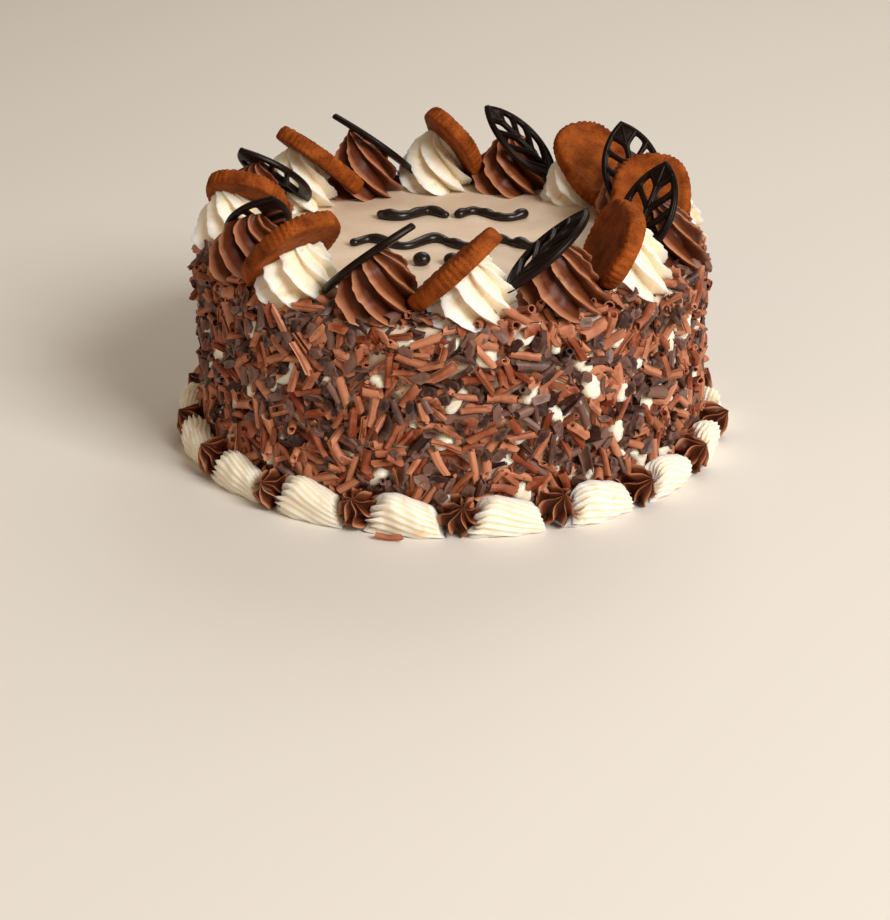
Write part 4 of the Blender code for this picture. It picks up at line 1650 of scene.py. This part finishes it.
@dataclass(frozen=True)
class CurlCoat:
    """The coat of shavings, laid in rounds: the flakes and shards mostly deep, the curls at every depth."""

    cream: SqueezedCream = SqueezedCream()
    rounds: int = 6
    seed: int = 21
    edge_low: float = 84.0  # where the coat ends in a thicker band round the top edge
    edge_high: float = 101.0
    fallen_azimuth: float = -11.2  # the curl that lies in front of the border
    fallen_radius: float = 146.8
    fallen_kind: str = "milk_curls"
    fallen_tone: float = 0.5

    def kinds(self) -> list[tuple[Shavings, Food]]:
        """What is in the coat, with what each kind is made of."""
        tight = Roll(length=(8.0, 16.5), radius=(1.8, 2.8), turns=(1.15, 1.7))
        loose = Roll(length=(8.0, 15.0), radius=(2.3, 3.6), turns=(0.45, 0.95), sheet=0.6, arcs=8)
        flake = Chip(length=(8.0, 14.0), width=(5.0, 9.5), thickness=(0.6, 0.9), bend=(0.4, 2.6))
        shard = Chip(length=(7.0, 13.0), width=(3.5, 7.0), thickness=(0.9, 1.8), bend=(0.0, 1.2), corners=6)
        lump = Chip(length=(6.0, 11.0), width=(4.5, 8.0), thickness=(1.8, 3.2), bend=(0.0, 0.6), corners=7,
                    rough=0.45)
        crumb = Chip(length=(1.6, 3.4), width=(1.2, 2.6), thickness=(0.6, 1.4), bend=(0.0, 0.3), corners=5)
        return [(Shavings("milk_flakes", flake, 560, tries=14, rounds=3, fill=170), MILK_CHOCOLATE),
                (Shavings("dark_shards", shard, 520, tries=14, rounds=5, fill=210), DARK_CHOCOLATE),
                (Shavings("milk_curls", tight, 2100, tries=12, stuck=0.2), MILK_CHOCOLATE),
                (Shavings("milk_scrolls", loose, 800, tries=12, stuck=0.15), MILK_CHOCOLATE),
                (Shavings("dark_curls", tight, 420, tries=12, stuck=0.2), DARK_CHOCOLATE),
                (Shavings("dark_scrolls", loose, 480, tries=12, stuck=0.1), DARK_CHOCOLATE),
                (Shavings("dark_lumps", lump, 560), DARK_CHOCOLATE),
                (Shavings("milk_crumbs", crumb, 800, tries=12), MILK_CHOCOLATE),
                (Shavings("dark_crumbs", crumb, 460, tries=12), DARK_CHOCOLATE)]

    def dress(self) -> None:
        """Lay the coat and add one piece for each kind of shaving."""
        add_piece("squeezed_cream", self.cream.build(), WHIPPED_CREAM.build(), ["curl_coat"],
                  sharp=180.0)
        heap, rng = Heap(), np.random.default_rng(self.seed)
        heap.start_on(self.cream)
        kinds = self.kinds()
        laid: dict[str, list[Shape]] = {kind.name: [] for kind, _ in kinds}
        for turn in range(self.rounds):
            for kind, _ in kinds:
                if turn < kind.rounds:
                    laid[kind.name] += kind.place(heap, rng, kind.count // kind.rounds)
        for kind, _ in kinds:
            laid[kind.name] += kind.place(heap, rng, kind.fill, bare_only=True)
        LOG.info("bare cells: %d", len(heap.bare()[0]))
        heap.low, heap.high = self.edge_low, self.edge_high
        for kind, _ in kinds:
            laid[kind.name] += kind.place(heap, rng, kind.count // (2 * self.rounds))
        forms = {kind.name: kind.form for kind, _ in kinds}
        laid[self.fallen_kind].append(self.fallen(forms[self.fallen_kind], rng))
        finishes = {food: food.build() for food in (MILK_CHOCOLATE, DARK_CHOCOLATE)}
        for kind, food in kinds:
            LOG.info("%s: %d of %d laid", kind.name, len(laid[kind.name]), kind.count)
            add_piece(kind.name, Shape.joined(laid[kind.name]), finishes[food], ["curl_coat"],
                      sharp=45.0)

    def fallen(self, form: Roll, rng: np.random.Generator) -> Shape:
        """Drop a curl in front of the border.

        Args:
            form: what curl it is.
            rng: the seeded source of its unevenness.

        Returns:
            The curl, lying along the border.
        """
        shape, _, _ = form.build(rng)
        way, upward, outward = azimuth_axes(math.radians(self.fallen_azimuth))
        points = shape.points @ np.array([way, -outward, upward])
        points += outward * self.fallen_radius
        points[:, 2] -= points[:, 2].min()
        return Shape(points, shape.faces, self.fallen_tone + shape.tones)


# Ornament on the top

@dataclass(frozen=True)
class Ornament:
    """Piped scrolls, a wave and beads in the middle of the top."""

    radius: float = 3.0
    flatten: float = 0.85
    sink: float = 0.6
    scroll_start: float = 4.0
    scroll_span: float = 34.0
    scroll_y: float = 47.0
    scroll_swing: float = 7.0
    scroll_fade: float = 0.35
    wave_span: float = 100.0
    wave_y: float = -3.0
    wave_swing: float = 6.0
    wave_periods: int = 3
    bead_radius: float = 4.5
    bead_y: float = -34.0
    bead_pitch: float = 15.0
    bead_sizes: tuple[float, ...] = (1.0, 0.94, 1.03)
    bead_flatten: float = 0.8
    bead_sink: float = 0.8
    bead_tip: float = 0.4  # how far the last of the chocolate stands up
    bead_drift: float = 0.02
    bead_rows: int = 11
    bead_columns: int = 24
    uneven: float = 0.16
    uneven_length: float = 12.0

    def scroll(self, side: int, along: np.ndarray) -> np.ndarray:
        """Path of the scroll on one side, from the middle out."""
        swing = self.scroll_swing * (1.0 - self.scroll_fade * along)
        return np.column_stack([side * (self.scroll_start + self.scroll_span * along),
                                self.scroll_y + swing * np.sin(TURN * along)])

    def wave(self, along: np.ndarray) -> np.ndarray:
        """Path of the wave."""
        return np.column_stack([self.wave_span * (along - 0.5),
                                self.wave_y + self.wave_swing * np.sin(TURN * self.wave_periods * along)])

    def line(self, seed: int, steps: int, path: Callable[[np.ndarray], np.ndarray]) -> Shape:
        """Pipe a line of uneven thickness.

        Args:
            seed: which line.
            steps: stations along it.
            path: its plan for shares of the way along.

        Returns:
            The closed shape.
        """
        plan = path(np.linspace(0.0, 1.0, steps))
        points = np.column_stack([plan, np.zeros(steps)])
        radii = self.radius * (1.0 + Wobble(seed, self.uneven_length, self.uneven).at(points))
        points[:, 2] = CAKE_TOP + radii * self.flatten - self.sink
        return Stroke(points, radii, flatten=self.flatten).build()

    def bead(self, number: int) -> Shape:
        """Drop one bead.

        Args:
            number: which bead, from the left.

        Returns:
            The closed shape.
        """
        x = self.bead_pitch * (number - (len(self.bead_sizes) - 1) / 2)
        radius, foot = self.bead_radius * self.bead_sizes[number], CAKE_TOP - self.bead_sink
        around = np.arange(self.bead_columns) * TURN / self.bead_columns
        rings = []
        for row in range(self.bead_rows):
            tilt = math.pi * (row + 1) / (self.bead_rows + 1) - math.pi / 2
            z = foot + radius * (1.0 + math.sin(tilt)) * self.bead_flatten
            reach = radius * math.cos(tilt)
            rings.append(np.column_stack([x + self.bead_drift * row + reach * np.cos(around),
                                          self.bead_y + reach * np.sin(around),
                                          np.full(self.bead_columns, z)]))
        poles = np.array([[x, self.bead_y, foot],
                          [x, self.bead_y, foot + radius * 2.0 * self.bead_flatten + self.bead_tip]])
        return capped(np.concatenate([*rings, poles]), self.bead_columns)

    def dress(self) -> None:
        """Add the scrolls, the wave and the beads."""
        finish = PIPED_CHOCOLATE.build()
        lines = {"scroll_left": self.line(31, 60, lambda along: self.scroll(-1, along)),
                 "scroll_right": self.line(32, 60, lambda along: self.scroll(1, along)),
                 "wave": self.line(33, 160, self.wave)}
        for name, shape in lines.items():
            add_piece(f"{name}_line", shape, finish, [name])
        for number in range(len(self.bead_sizes)):
            add_piece(f"bead_drop_{number + 1}", self.bead(number), finish,
                      [f"bead_{number + 1}"])


# Stage

@dataclass(frozen=True)
class Lamp:
    """A soft square light that faces the cake."""

    name: str
    place: tuple[float, float, float]
    size: float
    watts: float
    colour: str
    aim: tuple[float, float, float] = (0.0, 0.0, 70.0)

    def hang(self) -> None:
        """Add the light."""
        data = bpy.data.lights.new(self.name, "AREA")
        data.size = self.size * MM
        data.energy = self.watts
        data.color = linear(self.colour)[:3]
        light = placed(self.name, data)
        light.location = Vector(self.place) * MM
        way = Vector(self.aim) * MM - light.location
        light.rotation_euler = way.to_track_quat("-Z", "Y").to_euler()


@dataclass(frozen=True)
class Studio:
    """The floor, the soft lights and the camera at the photo's viewing angle."""

    image_height: float = 920.0
    focal_pixels: float = 1759.0
    camera_place: tuple[float, float, float] = (1.821, -870.895, 371.944)
    pitch: float = 0.427
    yaw: float = -0.006
    roll: float = 0.001
    floor_size: float = 12000.0
    world_colour: str = "#EAD3B8"
    world_strength: float = 0.29
    lamps: tuple[Lamp, ...] = (
        Lamp("key", place=(1700.0, -1750.0, 1750.0), size=1300.0, watts=96.0, colour="#FFFAF3"),
        Lamp("fill", place=(-1500.0, -1900.0, 900.0), size=1600.0, watts=7.0, colour="#FFE0C0"),
        Lamp("back", place=(600.0, 1900.0, 1900.0), size=1500.0, watts=18.0, colour="#FFFAF2"))

    def dress(self) -> None:
        """Add the floor, the lights and the camera."""
        self.add_floor()
        for lamp in self.lamps:
            lamp.hang()
        world = bpy.data.worlds.new("studio")
        world.use_nodes = True
        background = world.node_tree.nodes["Background"]
        background.inputs["Color"].default_value = linear(self.world_colour)
        background.inputs["Strength"].default_value = self.world_strength
        bpy.context.scene.world = world
        bpy.context.scene.view_settings.view_transform = "Standard"
        self.add_camera()

    def add_floor(self) -> None:
        """Lay the floor that the cake stands on."""
        half = self.floor_size / 2
        mesh = bpy.data.meshes.new("floor")
        corners = [(-half, -half, 0.0), (half, -half, 0.0), (half, half, 0.0), (-half, half, 0.0)]
        mesh.from_pydata([tuple(c * MM for c in corner) for corner in corners], [], [(0, 1, 2, 3)])
        mesh.materials.append(Paper().build())
        placed("floor", mesh)

    def add_camera(self) -> None:
        """Set the camera up where the photo was taken from."""
        data = bpy.data.cameras.new("camera")
        data.sensor_width = 36.0
        data.lens = self.focal_pixels / self.image_height * data.sensor_width
        data.clip_start, data.clip_end = 0.01, 100.0
        level = math.cos(self.pitch)
        forward = Vector((math.sin(self.yaw) * level, math.cos(self.yaw) * level, -math.sin(self.pitch)))
        right = forward.cross(Vector((0.0, 0.0, 1.0))).normalized()
        up = right.cross(forward)
        right, up = (right * math.cos(self.roll) + up * math.sin(self.roll),
                     up * math.cos(self.roll) - right * math.sin(self.roll))
        camera = placed("camera", data)
        turn = Matrix((right, up, -forward)).transposed().to_4x4()
        camera.matrix_world = Matrix.Translation(Vector(self.camera_place) * MM) @ turn
        bpy.context.scene.camera = camera


def main() -> None:
    """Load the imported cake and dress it."""
    logging.basicConfig(level=logging.INFO, format="%(message)s")
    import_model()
    Studio().dress()
    CreamCake().dress()
    CurlCoat().dress()
    Border().dress()
    PipedRing().dress()
    Ornament().dress()


if __name__ == "__main__":
    main()
